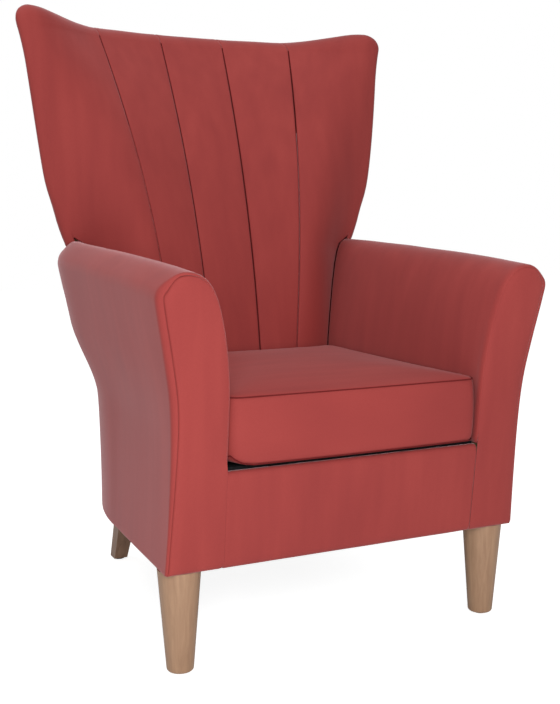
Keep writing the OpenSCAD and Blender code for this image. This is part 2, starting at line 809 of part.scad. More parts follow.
// A side seat rail follows the inside of the outside arm, past the back post
rail_col = arm_last_col - 4;
function rail_line(z) = [arm_skin[rail_col][0], z];
function rail_out_x(y) =
    min([for (z = [plate_top_h, rail_top_h]) arm_at(rail_line(z), y)[0]]) - cover_t - seat_gap;
rail_stations = 8;
rail_end_y = rear_y(leg_h) - cover_t;
module side_seat_rail() {
    post_y = rear_rail_y;
    start_y = face_y(plate_top_h);
    outer = [for (i = [0 : rail_stations])
        let (y = mix(start_y, rail_end_y, i / rail_stations)) [rail_out_x(y), y]];
    inner = [for (i = [0 : rail_stations - 2]) let (y = mix(start_y, post_y, i / (rail_stations - 2)))
        [max(rail_out_x(y) - rail_t, post_out_x), y]];
    lean = face_y(plate_top_h) - face_y(rail_top_h);
    beech()
        difference() {
            translate([0, 0, plate_top_h])
                linear_extrude(rail_top_h - plate_top_h)
                    polygon(concat(outer, [[post_out_x, rail_end_y]], [[post_out_x, post_y]], [
                        for (i = [len(inner) - 2 : -1 : 0]) inner[i],
                    ]));
            timber(
                [arm_in_x, start_y - rail_t], [arm_in_x + arm_w, start_y + post_back_d], plate_top_h,
                [arm_in_x, start_y - rail_t - lean], [arm_in_x + arm_w, start_y + post_back_d - lean],
                rail_top_h
            );
            dowels(dowel_d + pin_gap);
            leg_nut_room();
        }
}

// Rails of the back, each as high as one row of the webbing
module back_rail(row) {
    low_z = row_h(row);
    high_z = row_h(row + 1);
    rear_d = cover_t + cloth_gap;
    beech()
        difference() {
            timber(
                [-post_in_x, web_y(low_z) + web_t], [post_in_x, rear_y(low_z) - rear_d], low_z,
                [-post_in_x, web_y(high_z) + web_t], [post_in_x, rear_y(high_z) - rear_d], high_z
            );
            dowels(dowel_d + pin_gap);
        }
}

// An arm rail runs back from the front post, under the foam of the arm
stump_d = 30;
stump_w = 24;
stump_foot_in = 28;
stump_top_in = 50;
stump_back_d = 57;
stump_y = seat_back_y - stump_back_d;
stump_foot_x = arm_in_x + stump_foot_in;
stump_top_x = arm_in_x + stump_top_in;
arm_rail_t = 28;
arm_rail_room = 18.5;
arm_rail_h = arm_h - arm_skin_t - arm_rail_room - arm_rail_t;
arm_rail_past_d = 63;
arm_rail_end_y = seat_back_y + arm_rail_past_d;
arm_rail_pitch = 0.046;
function arm_rail_z(y) = arm_rail_h + arm_rail_pitch * (y - seat_front_y);
function rail_face_y(z) = face_y(z) + post_back_d + 2 * seat_gap;
module arm_rail() {
    side = [
        [rail_face_y(arm_rail_h), arm_rail_z(rail_face_y(arm_rail_h))],
        [arm_rail_end_y, arm_rail_z(arm_rail_end_y)],
        [arm_rail_end_y, arm_rail_z(arm_rail_end_y) + arm_rail_t],
        [rail_face_y(arm_rail_h + arm_rail_t), arm_rail_z(rail_face_y(arm_rail_h)) + arm_rail_t],
    ];
    beech()
        difference() {
            loft([for (x = [stump_top_x + stump_w, stump_top_x]) [for (p = side) [x, p[0], p[1]]]]);
            dowels(dowel_d + pin_gap);
        }
}

// The stump that carries the rear of the arm rail stands on the side seat rail
module arm_stump() {
    foot = [[0, 0], [1, 0], [1, 1], [0, 1]];
    beech()
        difference() {
            loft([
                [for (p = foot) let (y = stump_y + stump_d * p[1])
                    [stump_top_x + stump_w * p[0], y, arm_rail_z(y)]],
                [for (p = foot) [stump_foot_x + stump_w * p[0], stump_y + stump_d * p[1], rail_top_h]],
            ]);
            dowels(dowel_d + pin_gap);
        }
}

// Dowels, as a middle point and turns for each, on the right-hand side
dowel_low_h = 215;
dowel_spacing = 60;
post_dowel_in = 16;
back_dowel_spacing = 28;
across = [0, 90, 0];
lengthwise = [90, 0, 0];
upright = [0, 0, 0];
rail_dowel_x = rail_out_x(face_y(dowel_low_h) + post_back_d) - rail_t / 2;
stump_mid_y = stump_y + stump_d / 2;
post_side_x = post_in_x - dowel_l / 2 + post_dowel_in;
function rail_dowel_h(row, k) = row_h(row) + dowel_d + back_dowel_spacing * k;
function post_mid_y(z) = (web_y(z) + web_t + rear_y(z) - cover_t) / 2;
function rail_dowel(row, k) = let (z = rail_dowel_h(row, k)) [[post_side_x, post_mid_y(z), z], across];
dowel_places = concat(
    [for (k = [0, 1]) each let (z = dowel_low_h + k * dowel_spacing) [
        [[arm_in_x + arm_skin_t, face_y(z) + face_pad_t + face_board_t / 2, z], across],
        [[rail_dowel_x, face_y(z) + post_back_d + dowel_l / 2 - post_dowel_in, z], lengthwise],
        [[post_out_x + dowel_l / 2 - 2 * post_dowel_in, rear_rail_y + rail_t / 2, z + dowel_d], across],
    ]],
    [for (k = [0, 1]) each [
        [[post_side_x, rear_rail_y + rail_t / 2, rail_top_h - dowel_spacing + back_dowel_spacing * k], across],
        rail_dowel(lumbar_row_count, k),
        rail_dowel(crest_row_count, k),
    ]],
    [
        [[stump_foot_x + stump_w / 2, stump_mid_y, rail_top_h], upright],
        [[stump_top_x + stump_w / 2, stump_mid_y, arm_rail_z(stump_mid_y)], upright],
        [[stump_top_x + stump_w / 2, rail_face_y(arm_rail_h) + dowel_l / 2 - post_dowel_in,
            arm_rail_h + arm_rail_t / 2], lengthwise],
    ]
);
module dowels(d) {
    for (side = [-1, 1], place = dowel_places)
        translate([side * place[0][0], place[0][1], place[0][2]])
            rotate(place[1])
                cylinder(d = d, h = dowel_l, center = true, $fn = round_fn);
}
module frame_dowels() {
    beech()
        dowels(dowel_d);
}

// Places of the legs, and the bolts that hold them
front_leg_y = seat_front_y + front_leg_d;
rear_leg_y = seat_back_y + rear_leg_d;
foot_round_r = 5;
bolt_low_d = 42;
bolt_end_d = 9;
bolt_high_d = plate_t + bolt_end_d;
nut_r = 9;
nut_flange_t = 2;
nut_barrel_r = 5.5;
nut_barrel_h = 13.5;
nut_room_gap = 1.5;
nut_room_r = nut_r + nut_room_gap;
nut_room_h = 15;
leg_places = [[front_leg_x, front_leg_y], [rear_leg_x, rear_leg_y]];
module at_legs() {
    for (side = [-1, 1], place = leg_places)
        translate([side * place[0], place[1], leg_h])
            children();
}
module leg_nut_room() {
    at_legs()
        translate([0, 0, plate_t])
            cylinder(r = nut_room_r, h = nut_room_h, $fn = round_fn);
}
module leg_bores(d) {
    at_legs()
        translate([0, 0, -bolt_low_d])
            cylinder(d = d, h = bolt_low_d + bolt_high_d, $fn = round_fn);
}
module leg_bolts() {
    steel()
        leg_bores(bolt_d);
}

// Nuts whose barrels sit in the plates from above
module leg_nuts() {
    steel()
        at_legs()
            difference() {
                union() {
                    translate([0, 0, plate_t])
                        cylinder(r = nut_r, h = nut_flange_t, $fn = round_fn);
                    translate([0, 0, plate_t - nut_barrel_h])
                        cylinder(r = nut_barrel_r, h = nut_barrel_h, $fn = round_fn);
                }
                cylinder(d = bolt_d + pin_gap, h = plate_t + 2 * nut_flange_t, $fn = round_fn);
            }
}

// Plates between the rails, which the legs are bolted to
front_plate_in = 41;
front_plate_out = 29;
front_plate_rear = 45;
rear_plate_in = 32;
rear_plate_front = 20;
front_plate = [
    [front_leg_x - front_plate_in, face_y(leg_h) + face_pad_t],
    [front_leg_x + front_plate_out, front_leg_y + front_plate_rear],
];
rear_plate = [[rear_leg_x - rear_plate_in, rear_rail_y - rear_plate_front], [post_out_x, rail_end_y]];
module leg_plates() {
    ply()
        difference() {
            for (side = [0, 1], plate = [front_plate, rear_plate])
                mirror([side, 0, 0])
                    translate([plate[0][0], plate[0][1], leg_h])
                        cube([plate[1][0] - plate[0][0], plate[1][1] - plate[0][1], plate_t]);
            at_legs()
                translate([0, 0, -overrun])
                    cylinder(r = bolt_d / 2 + pin_gap, h = plate_t + 2 * overrun, $fn = round_fn);
            at_legs()
                translate([0, 0, plate_t - nut_barrel_h])
                    cylinder(r = nut_barrel_r + pin_gap / 2, h = plate_t, $fn = round_fn);
        }
}

// A front leg is turned, with a rounded foot
module front_leg() {
    beech()
        difference() {
            translate([front_leg_x, front_leg_y, 0])
                rotate_extrude($fn = 3 * round_fn)
                    polygon(concat(
                        [[0, leg_h], [0, glide_t], [front_leg_foot_r - foot_round_r, glide_t]],
                        [for (a = [15 : 15 : 90]) [
                            front_leg_foot_r - foot_round_r * (1 - sin(a)),
                            glide_t + foot_round_r * (1 - cos(a)),
                        ]],
                        [[front_leg_top_r, leg_h]]
                    ));
            leg_bores(bolt_d + pin_gap);
        }
}

// A rear leg is square, rakes back and splays
rear_foot_x = rear_leg_x + rear_leg_splay;
rear_foot_y = rear_leg_y + rear_leg_rake;
module rear_leg() {
    color(rear_leg_colour)
        difference() {
            timber(
                [rear_foot_x, rear_foot_y] - [1, 1] * rear_leg_foot_w / 2,
                [rear_foot_x, rear_foot_y] + [1, 1] * rear_leg_foot_w / 2, glide_t,
                [rear_leg_x, rear_leg_y] - [1, 1] * rear_leg_top_w / 2,
                [rear_leg_x, rear_leg_y] + [1, 1] * rear_leg_top_w / 2, leg_h
            );
            leg_bores(bolt_d + pin_gap);
        }
}
glide_r = 11;
module leg_glides() {
    color(black_colour)
        for (side = [-1, 1], place = [[front_leg_x, front_leg_y], [rear_foot_x, rear_foot_y]])
            translate([side * place[0], place[1], 0])
                cylinder(r = glide_r, h = glide_t, $fn = round_fn);
}

// Black cloth that closes the underside, with room for the legs
dust_t = 1.5;
dust_inset = 12;
module dust_cover() {
    steps = 8;
    side = [for (i = [0 : steps])
        let (y = mix(face_y(leg_h) + dust_inset, rail_end_y - dust_inset, i / steps))
        [rail_out_x(y) - dust_inset / 2, y]];
    color(black_colour)
        translate([0, 0, leg_h - dust_t])
            difference() {
                linear_extrude(dust_t)
                    polygon(concat(side, [for (i = [steps : -1 : 0]) [-side[i][0], side[i][1]]]));
                for (side = [-1, 1]) {
                    translate([side * front_leg_x, front_leg_y, -overrun])
                        cylinder(r = front_leg_top_r + overrun, h = 3 * overrun, $fn = round_fn);
                    translate([side * rear_leg_x - rear_leg_top_w / 2 - overrun,
                        rear_leg_y - rear_leg_top_w / 2 - overrun, -overrun])
                        cube([rear_leg_top_w + 2 * overrun, rear_leg_top_w + 3 * overrun, 3 * overrun]);
                }
            }
}

// Seat springing: zigzag wires in clips, a pad and a black platform cloth
platform_t = 2;
platform_front_y = face_y(rail_top_h) + face_pad_t + seat_gap;
platform_rear_y = rear_rail_y - web_t - seat_gap;
wire_z = platform_h - platform_t - spring_pad_t - spring_wire_d / 2;
clip_l = 18;
clip_d = 12;
spring_w = 48;
spring_turns = 13;
spring_front_y = face_y(rail_top_h) + face_pad_t + rail_t / 2;
spring_rear_y = rear_rail_y + rail_t / 2;
spring_gap = 2 * (arm_in_x - spring_w) / spring_count;
clip_x = -spring_w / 4;
function spring_x(k) = (k - (spring_count - 1) / 2) * spring_gap;
wire_sides = 5;
bend_steps = 3;
spring_pitch = (spring_rear_y - spring_front_y) / spring_turns;
spring_path = [
    [-spring_w / 2, spring_front_y],
    for (i = [0 : spring_turns - 1]) each
        let (
            side = i % 2 == 0 ? 1 : -1,
            mid = [side * (spring_w - spring_pitch) / 2, spring_front_y + (i + 0.5) * spring_pitch]
        )
        [for (k = [0 : bend_steps]) let (a = -90 + 180 * k / bend_steps)
            mid + spring_pitch / 2 * [side * cos(a), sin(a)]],
    [(spring_turns % 2 == 0 ? 1 : -1) * spring_w / 2, spring_rear_y],
];
function flat_tube(path, z, r) = [
    for (i = [0 : len(path) - 1])
        let (
            a = path[max(0, i - 1)],
            b = path[min(len(path) - 1, i + 1)],
            run = (b - a) / norm(b - a)
        )
        [for (k = [wire_sides - 1 : -1 : 0]) let (t = 360 * (k + 0.5) / wire_sides)
            [path[i][0] - run[1] * r * cos(t), path[i][1] + run[0] * r * cos(t), z + r * sin(t)]]
];
module seat_springs() {
    steel()
        for (k = [0 : spring_count - 1])
            translate([spring_x(k), 0, 0])
                loft(flat_tube(spring_path, wire_z, spring_wire_d / 2));
}

// Clips that hold the ends of the springs on the front and rear rails
module spring_clips() {
    steel()
        for (k = [0 : spring_count - 1], y = [spring_front_y, spring_rear_y])
            difference() {
                translate([spring_x(k) + clip_x - clip_l / 2, y - clip_d / 2, rail_top_h])
                    cube([clip_l, clip_d, wire_z + spring_wire_d / 2 - rail_top_h]);
                translate([spring_x(k) + clip_x - clip_l / 2 - overrun, y, wire_z])
                    rotate([0, 90, 0])
                        cylinder(d = spring_wire_d + pin_gap, h = clip_l + 2 * overrun, $fn = round_fn);
            }
}

// The felt pad over the springs, and the platform cloth on it
function seat_half_w(y) = arm_in_x - seat_gap - arm_taper * along_share(y, platform_h);
module platform_slab(low_z, t) {
    translate([0, 0, low_z])
        linear_extrude(t)
            polygon([
                [-seat_half_w(platform_front_y), platform_front_y],
                [seat_half_w(platform_front_y), platform_front_y],
                [seat_half_w(platform_rear_y), platform_rear_y],
                [-seat_half_w(platform_rear_y), platform_rear_y],
            ]);
}
module spring_pad() {
    color(felt_colour)
        platform_slab(platform_h - platform_t - spring_pad_t, spring_pad_t);
}
module platform_cover() {
    color(black_colour)
        platform_slab(platform_h - platform_t, platform_t);
}

// The loose cushion: rings of a rounded outline, drawn in at its two seams
cushion_gap = 2;
cushion_low_h = platform_h + seat_gap;
cushion_gap_w = 0.5;
cushion_front_y = face_y(border_top_h) - cushion_nose;
rear_corner_r = 14;
front_bow = 3;
function cushion_rear_y(x, z) = inside_y(x, z) - flute_crown - cushion_gap;
front_shares = [0, 0.33, 0.66];
side_shares = [0.25, 0.5, 0.75, 1];
rear_shares = [0.94, 0.8, 0.6, 0.4, 0.2, 0];
rear_turn_share = 0.3;
function cushion_side_x(y, d) = seat_half_w(y) - cushion_gap_w - d;
function cushion_half(d, z) =
    let (
        front = cushion_front_y + d,
        r = max(cushion_corner_r - d / 2, rear_corner_r),
        w = cushion_side_x(front + r, d),
        rear_w = cushion_side_x(cushion_rear_y(w, z) - d, d),
        turn = rear_corner_r * rear_turn_share,
        side_y = cushion_rear_y(rear_w, z) - d - rear_corner_r
    )
    concat(
        [for (s = front_shares) [s * (w - r), front - front_bow * (1 - s * s), z]],
        [for (a = [-90 : 22.5 : 0]) [w - r + r * cos(a), front + r + r * sin(a), z]],
        [for (s = side_shares) let (y = mix(front + r, side_y, s)) [cushion_side_x(y, d), y, z]],
        [[rear_w - turn, side_y + rear_corner_r - turn, z]],
        [for (s = rear_shares) [s * rear_w, cushion_rear_y(s * rear_w, z) - d, z]]
    );
function cushion_ring(d, z) =
    let (half = cushion_half(d, z), n = len(half))
    concat(half, [for (i = [n - 2 : -1 : 1]) [-half[i][0], half[i][1], half[i][2]]]);

// The side of the cushion seen from the front: shares of its swell depth inwards, of its
// thickness upwards and of its crown
cushion_swell_d = 160;
cushion_shares = [
    [0.44, 0, 0], [0.125, 0, 0], [0.044, 0.03, 0], [0.016, 0.08, 0], [0.02, 0.105, 0], [0.004, 0.17, 0],
    [0, 0.5, 0], [0.004, 0.84, 0], [0.019, 0.93, 0], [0.024, 0.955, 0], [0.044, 0.99, 0], [0.14, 1, 0.35],
    [0.375, 1, 0.72], [0.69, 1, 0.93], [1, 1, 1],
];
function cushion_rings(depth) = [
    for (i = [len(cushion_shares) - 1 : -1 : 0])
        let (
            p = cushion_shares[i],
            inset = cushion_swell_d * p[0],
            z = cushion_low_h + cushion_t * p[1] + cushion_crown * p[2],
            low = cushion_low_h + depth,
            high = cushion_low_h + cushion_t + cushion_crown * p[2] - depth
        )
        cushion_ring(max(inset, depth) + (inset < depth ? 0 : depth), clamp(z, low, high))
];
module cushion_body(depth) {
    loft(cushion_rings(depth));
}
module cushion_cover() {
    cover_cloth()
        difference() {
            cushion_body(0);
            cushion_body(cover_t);
        }
}
module cushion_foam() {
    foam()
        cushion_body(cover_t);
}

// The zip in the rear of the cushion's border
zip_half_w = 110;
zip_t = 1.2;
zip_h = 8;
zip_low_share = 0.4;
module cushion_zip() {
    low = cushion_low_h + cushion_t * zip_low_share;
    high = low + zip_h;
    color(seam_colour)
        timber(
            [-zip_half_w, cushion_rear_y(0, low)], [zip_half_w, cushion_rear_y(0, low) + zip_t], low,
            [-zip_half_w, cushion_rear_y(0, high)], [zip_half_w, cushion_rear_y(0, high) + zip_t], high
        );
}

front_seat_rail();
rear_seat_rail();
to_left() side_seat_rail();  // side_seat_rail_left
side_seat_rail();  // side_seat_rail_right
to_left() front_post();  // front_post_left
front_post();  // front_post_right
to_left() back_post();  // back_post_left
back_post();  // back_post_right
to_left() arm_rail();  // arm_rail_left
arm_rail();  // arm_rail_right
to_left() arm_stump();  // arm_stump_left
arm_stump();  // arm_stump_right
back_rail(crest_row_count);  // crest_rail
back_rail(lumbar_row_count);  // lumbar_rail
to_left() wing_board();  // wing_board_left
wing_board();  // wing_board_right
leg_plates();
frame_dowels();
to_left() front_leg();  // front_leg_left
front_leg();  // front_leg_right
to_left() rear_leg();  // rear_leg_left
rear_leg();  // rear_leg_right
leg_bolts();
leg_nuts();
leg_glides();
seat_springs();
spring_clips();
spring_pad();
platform_cover();
back_webbing();
back_foam();
to_left() arm_board();  // arm_board_left
arm_board();  // arm_board_right
to_left() arm_foam();  // arm_foam_left
arm_foam();  // arm_foam_right
flute(-edge_seam, -outer_seam);  // wing_flute_left
flute(-outer_seam, -inner_seam);  // inner_flute_left
flute(-inner_seam, inner_seam);  // centre_flute
flute(inner_seam, outer_seam);  // inner_flute_right
flute(outer_seam, edge_seam);  // wing_flute_right
back_edge_roll();
outside_back();
to_left() outside_wing();  // outside_wing_left
outside_wing();  // outside_wing_right
to_left() inside_arm();  // inside_arm_left
inside_arm();  // inside_arm_right
to_left() outside_arm();  // outside_arm_left
outside_arm();  // outside_arm_right
to_left() arm_facing();  // arm_facing_left
arm_facing();  // arm_facing_right
front_border();
dust_cover();
cushion_cover();
cushion_foam();
cushion_zip();
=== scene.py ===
import math

import bpy
import numpy as np
from mathutils import Euler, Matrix, Vector, geometry, noise


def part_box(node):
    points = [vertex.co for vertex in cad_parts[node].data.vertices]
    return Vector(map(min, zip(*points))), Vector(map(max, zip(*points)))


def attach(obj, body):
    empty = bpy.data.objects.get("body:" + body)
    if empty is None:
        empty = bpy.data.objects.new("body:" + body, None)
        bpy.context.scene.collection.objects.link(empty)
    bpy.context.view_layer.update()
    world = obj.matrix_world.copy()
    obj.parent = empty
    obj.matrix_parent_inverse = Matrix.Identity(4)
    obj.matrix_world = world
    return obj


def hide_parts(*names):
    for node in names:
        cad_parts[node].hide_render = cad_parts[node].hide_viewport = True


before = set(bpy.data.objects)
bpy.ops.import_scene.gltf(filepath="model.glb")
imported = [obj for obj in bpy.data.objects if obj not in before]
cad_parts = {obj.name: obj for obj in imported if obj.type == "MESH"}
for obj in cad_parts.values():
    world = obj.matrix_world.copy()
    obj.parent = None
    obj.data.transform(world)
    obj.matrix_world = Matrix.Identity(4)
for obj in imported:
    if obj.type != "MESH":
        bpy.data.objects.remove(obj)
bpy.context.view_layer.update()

# All sizes are in millimetres and become metres where a mesh is made
MM = 0.001
SIDES = ((1, "right"), (-1, "left"))

# The chair's main sizes
SEAT_W = 472.0
SEAT_D = 482.0
SEAT_H = 450.0
PLATFORM_H = 334.0
BORDER_TOP_H = PLATFORM_H - 5.0
RAIL_TOP_H = PLATFORM_H - 30.0
LEG_H = 170.0
CUSHION_NOSE = 7.0
CUSHION_CORNER_R = 24.0
ARM_H = 636.0
ARM_RISE = 35.0
ARM_W = 122.0
ARM_OVERHANG = 42.0
ARM_LEAN = math.tan(math.radians(6.56))
ARM_RUN_D = SEAT_D + 118.0
ARM_TAPER = 14.0
ARM_SPLAY = 10.0
FACING_INSET = 4.0
FACING_CROWN = 3.0
BACK_H = 1108.0
EAR_RISE = 19.0
BACK_BASE_D = 138.9
BACK_TOP_D = 65.0
BACK_LEAN = math.tan(math.radians(10.67))
BOW_R = 1819.0
HOLLOW_D = 42.0
HOLLOW_SHARE = 0.72
WING_LOW_W = 650.0
WING_TOP_W = 798.0
WING_D = 104.0
WING_SWELL = 25.0
WING_SWELL_H = 60.0
WING_UNDER_D = 33.0
WING_BOW = 27.0
OUTSIDE_BACK_W = 450.0
EDGE_R = 22.0
FLUTE_CROWN = 8.0
COVER_T = 2.5
SKIN_T = 2.0
FACE_PAD_T = 14.0

# Sizes and places that follow from these
BACK_RISE = BACK_H - SEAT_H
BACK_RUN = BACK_LEAN * BACK_RISE + BACK_RISE**2 / BOW_R / 2
REAR_SLOPE = (BACK_RUN + BACK_TOP_D - BACK_BASE_D) / BACK_RISE
DEPTH = FACING_CROWN + ARM_OVERHANG + SEAT_D + BACK_RUN + BACK_TOP_D
SEAT_FRONT_Y = FACING_CROWN + ARM_OVERHANG - DEPTH / 2
SEAT_BACK_Y = SEAT_FRONT_Y + SEAT_D
WING_Y = SEAT_BACK_Y + WING_D
REAR_BASE_Y = SEAT_BACK_Y + BACK_BASE_D
POST_OUT_X = OUTSIDE_BACK_W / 2 - COVER_T
WAIST_H = LEG_H + (ARM_H - LEG_H) * 0.46
WING_LOW_H = ARM_H + ARM_RISE - COVER_T
WING_BOW_LOW_H = WING_LOW_H + 111.5
TOP_FOLD_H = 24.0
TOP_H = BACK_H - TOP_FOLD_H
EAR_START_X = 214.0
EAR_X = WING_TOP_W / 2 - EDGE_R

# The corner of an ear is round, and its side flares towards the top
EAR_R = 11.0
EAR_FLARE = 9.5
EAR_FLARE_D = 110.0
EAR_POWER = 1.6
EAR_DROP = 6.0
EAR_DROP_D = 38.0

# The edge of a wing draws in a little above the arm
WING_WAIST_SHARE = 0.18
WING_WAIST_RISE = 80.0
WING_WAIST_D = 35.0

# The seams of the back: x by the seat, x at the top, and how late they spread between
INNER, OUTER, WING_EDGE = 1, 2, 3
SEAM_LINES = {INNER: (54.0, 71.0, 1.5), OUTER: (138.0, 218.0, 1.35)}


# Small helpers
def clamp(v, low=0.0, high=1.0):
    return max(low, min(high, v))


def mix(a, b, s):
    return a + (b - a) * s


def ease(v):
    s = clamp(v)
    return s * s * (3 - 2 * s)


def eased(v, low, high):
    """Rises smoothly from 0 at low to 1 at high."""
    return ease((v - low) / (high - low))


def lookup(v, table):
    """The value at v of a line through (place, value) pairs."""
    if v <= table[0][0]:
        return table[0][1]
    for (a, p), (b, q) in zip(table, table[1:]):
        if v <= b:
            return mix(p, q, (v - a) / (b - a))
    return table[-1][1]


def curve(points, steps):
    """A smooth line through points, with steps pieces from each to the next."""
    points = [np.array(p, float) for p in points]
    line = []
    for i in range(len(points) - 1):
        a, b, c, d = (points[min(max(i + k, 0), len(points) - 1)] for k in (-1, 0, 1, 2))
        for k in range(steps):
            s = k / steps
            bend = (2 * a - 5 * b + 4 * c - d) * s * s + (3 * b - a - 3 * c + d) * s**3
            line.append(0.5 * (2 * b + (c - a) * s + bend))
    line.append(points[-1])
    return line


def line_normal(line, i):
    a, b = line[max(0, i - 1)], line[min(len(line) - 1, i + 1)]
    run = (b[0] - a[0], b[1] - a[1])
    size = math.hypot(*run)
    return np.array([-run[1] / size, run[0] / size])


def waver(seed, *at):
    """A smooth random value from about -1 to 1 that depends on the seed and the place alone."""
    x, y, z = (list(at) + [0.0, 0.0])[:3]
    return noise.noise(Vector((x + 17.3 * seed, y - 9.1 * seed, z + 4.7 * seed)))


# The surfaces of the body
def face_y(z):
    """The plane of the arm fronts and the border, which leans forwards with height."""
    return SEAT_FRONT_Y - ARM_OVERHANG + (ARM_H - z) * ARM_LEAN


def rear_y(z):
    return REAR_BASE_Y + max(0.0, z - SEAT_H) * REAR_SLOPE


def up_share(z):
    return (z - SEAT_H) / (BACK_H - SEAT_H)


def middle_y(z):
    bent = max(0.0, z - SEAT_H)
    return SEAT_BACK_Y + BACK_LEAN * (z - SEAT_H) + bent * bent / BOW_R / 2


def spread_x(index, z):
    low, high, power = SEAM_LINES[index]
    return mix(low, high, max(0.0, up_share(z)) ** power)


def hollow(z):
    """How deep the back is hollow across, which is most at HOLLOW_SHARE of its height."""
    s = (max(0.0, up_share(z)) - HOLLOW_SHARE) / HOLLOW_SHARE
    return HOLLOW_D * (1 - s * s)


def wing_x(z):
    rise = max(0.0, z - WING_LOW_H)
    top = BACK_H + EAR_RISE - WING_LOW_H
    straight = (WING_TOP_W - WING_LOW_W) / 2 - WING_SWELL
    flare = EAR_FLARE * clamp(1 - (BACK_H - z) / EAR_FLARE_D) ** EAR_POWER
    fullness = WING_SWELL * (1 - math.exp(-rise / WING_SWELL_H))
    return WING_LOW_W / 2 + straight * rise / top + fullness + flare


def wing_edge_y(z):
    s = (max(z, WING_LOW_H) - WING_BOW_LOW_H) / (BACK_H - WING_BOW_LOW_H)
    return WING_Y + WING_BOW * s * s - WING_UNDER_D * max(0.0, WING_LOW_H - z) / (WING_LOW_H - SEAT_H)


def ear_run(d):
    return max(0.0, EAR_R / math.sqrt(2) - max(0.0, d))


def ear_round(d):
    """How far the corner's arc lies inside the sharp corner, at distance d from its middle."""
    return EAR_R - math.sqrt(EAR_R * EAR_R - ear_run(d) ** 2)


def ear_turn(d):
    return math.degrees(math.asin(ear_run(d) / EAR_R))


def ear_drop(d):
    """The top edge of the ear curves down a little before its corner."""
    return clamp(1 - d / EAR_DROP_D)


def fold_x(z):
    return wing_x(max(z, WING_LOW_H)) - EDGE_R - ear_round(TOP_H - z)


def inside_y(x, z):
    """The inside of the back: hollow between the outer seams, then swung forward to the wing's edge."""
    w = abs(x)
    seam = spread_x(OUTER, z)
    dip = hollow(z)
    if w <= seam:
        return middle_y(z) - dip * w * w / seam / seam
    run = fold_x(z) - seam
    s = clamp((w - seam) / run)
    s2, s3 = s * s, s**3
    return (
        (middle_y(z) - dip) * (2 * s3 - 3 * s2 + 1)
        + run * -2 * dip / seam * (s3 - 2 * s2 + s)
        + (wing_edge_y(z) - EDGE_R) * (3 * s2 - 2 * s3)
    )


def outside_y(x, z):
    """The outside of the back, flat between the posts, and of the wing from a post to its edge."""
    if abs(x) <= POST_OUT_X:
        return rear_y(z)
    s = (abs(x) - POST_OUT_X) / (fold_x(z) - POST_OUT_X)
    return mix(rear_y(z), wing_edge_y(z) + EDGE_R, s)


def fold_h(x):
    """The height at which the inside back folds over into the top edge."""
    rise = EAR_RISE * clamp((abs(x) - EAR_START_X) / (EAR_X - EAR_START_X)) ** EAR_POWER
    d = fold_x(TOP_H) - abs(x)
    return TOP_H + rise - ear_round(d) - EAR_DROP * ear_drop(d) ** 2


# The arms: a profile seen from the front, in shares of their width and height
ARM_SHARES = [
    (0, 0.345), (0, 0.49), (0.008, 0.64), (0.06, 0.79), (0.152, 0.895), (0.28, 0.964), (0.46, 0.997),
    (0.68, 1), (0.865, 0.97), (0.966, 0.934), (0.947, 0.877), (0.83, 0.716), (0.75, 0.576), (0.725, 0.407),
    (0.74, 0.174), (0.77, 0),
]
ARM_STEPS = 5
ARM_IN_X = SEAT_W / 2
ARM_SKIN = [
    np.array([ARM_IN_X + ARM_W * p[0], LEG_H + (ARM_H - LEG_H) * p[1]]) for p in curve(ARM_SHARES, ARM_STEPS)
]
ARM_SKIN = ARM_SKIN[:-1] + [mix(ARM_SKIN[-1], ARM_SKIN[-2], k / 16) for k in (12, 8, 5, 3, 1.5, 0.6, 0)]
CREST_COL = 8 * ARM_STEPS
ARM_OUTER_SHARE = 0.75
TURN_LOW_D, TURN_HIGH_D = 182.0, 72.0
LAST_COL = len(ARM_SKIN) - 1
CREST = ARM_SKIN[CREST_COL]
RISE_SHARES = [(0, 0), (0.16, 0.25), (0.35, 0.46), (0.6, 0.69), (1, 1)]


def arm_upper(z):
    return ease((z - WAIST_H) / (ARM_H - WAIST_H))


def side_upper(z):
    return ease(2 * (z - WAIST_H) / (ARM_H - WAIST_H))


def turn_y(z):
    return SEAT_BACK_Y - mix(TURN_LOW_D, TURN_HIGH_D, clamp((z - LEG_H) / (ARM_H - LEG_H)))


def along_share(y, z):
    return clamp((y - face_y(z)) / ARM_RUN_D)


def rear_end_y(z):
    return rear_y(z + ARM_RISE * arm_upper(z))


def turn_share(y, z):
    s = (y - turn_y(z)) / (rear_end_y(z) - turn_y(z))
    return max(0.0, s) ** mix(2, 3, side_upper(z))


def side_step(x, y, z):
    along, upper = along_share(y, z), side_upper(z)
    flared = x + ARM_SPLAY * along * upper - ARM_TAPER * (1 - upper) * min(1, 2 * along)
    return mix(flared, OUTSIDE_BACK_W / 2, turn_share(y, z)) - x


def arm_at(p, y):
    """The point of the arm's skin that runs back from profile point p, at depth y."""
    along, up = along_share(y, p[1]), arm_upper(p[1])
    outer = ease((p[0] - ARM_IN_X) / ARM_W / ARM_OUTER_SHARE)
    outer = outer if p[1] > WAIST_H or p[0] > ARM_IN_X + ARM_W / 2 else 0.0
    inner_step = along * mix(-ARM_TAPER, ARM_SPLAY, up)
    return np.array([
        p[0] + mix(inner_step, side_step(p[0], y, p[1]), outer),
        y,
        p[1] + ARM_RISE * lookup(along, RISE_SHARES) * up,
    ])


def arm_end_y(p):
    """Where the inside of the arm meets the inside of the back, found step by step."""
    y = SEAT_BACK_Y
    for _ in range(6):
        q = arm_at(p, y)
        y = inside_y(min(q[0], fold_x(q[2])), q[2])
    return y


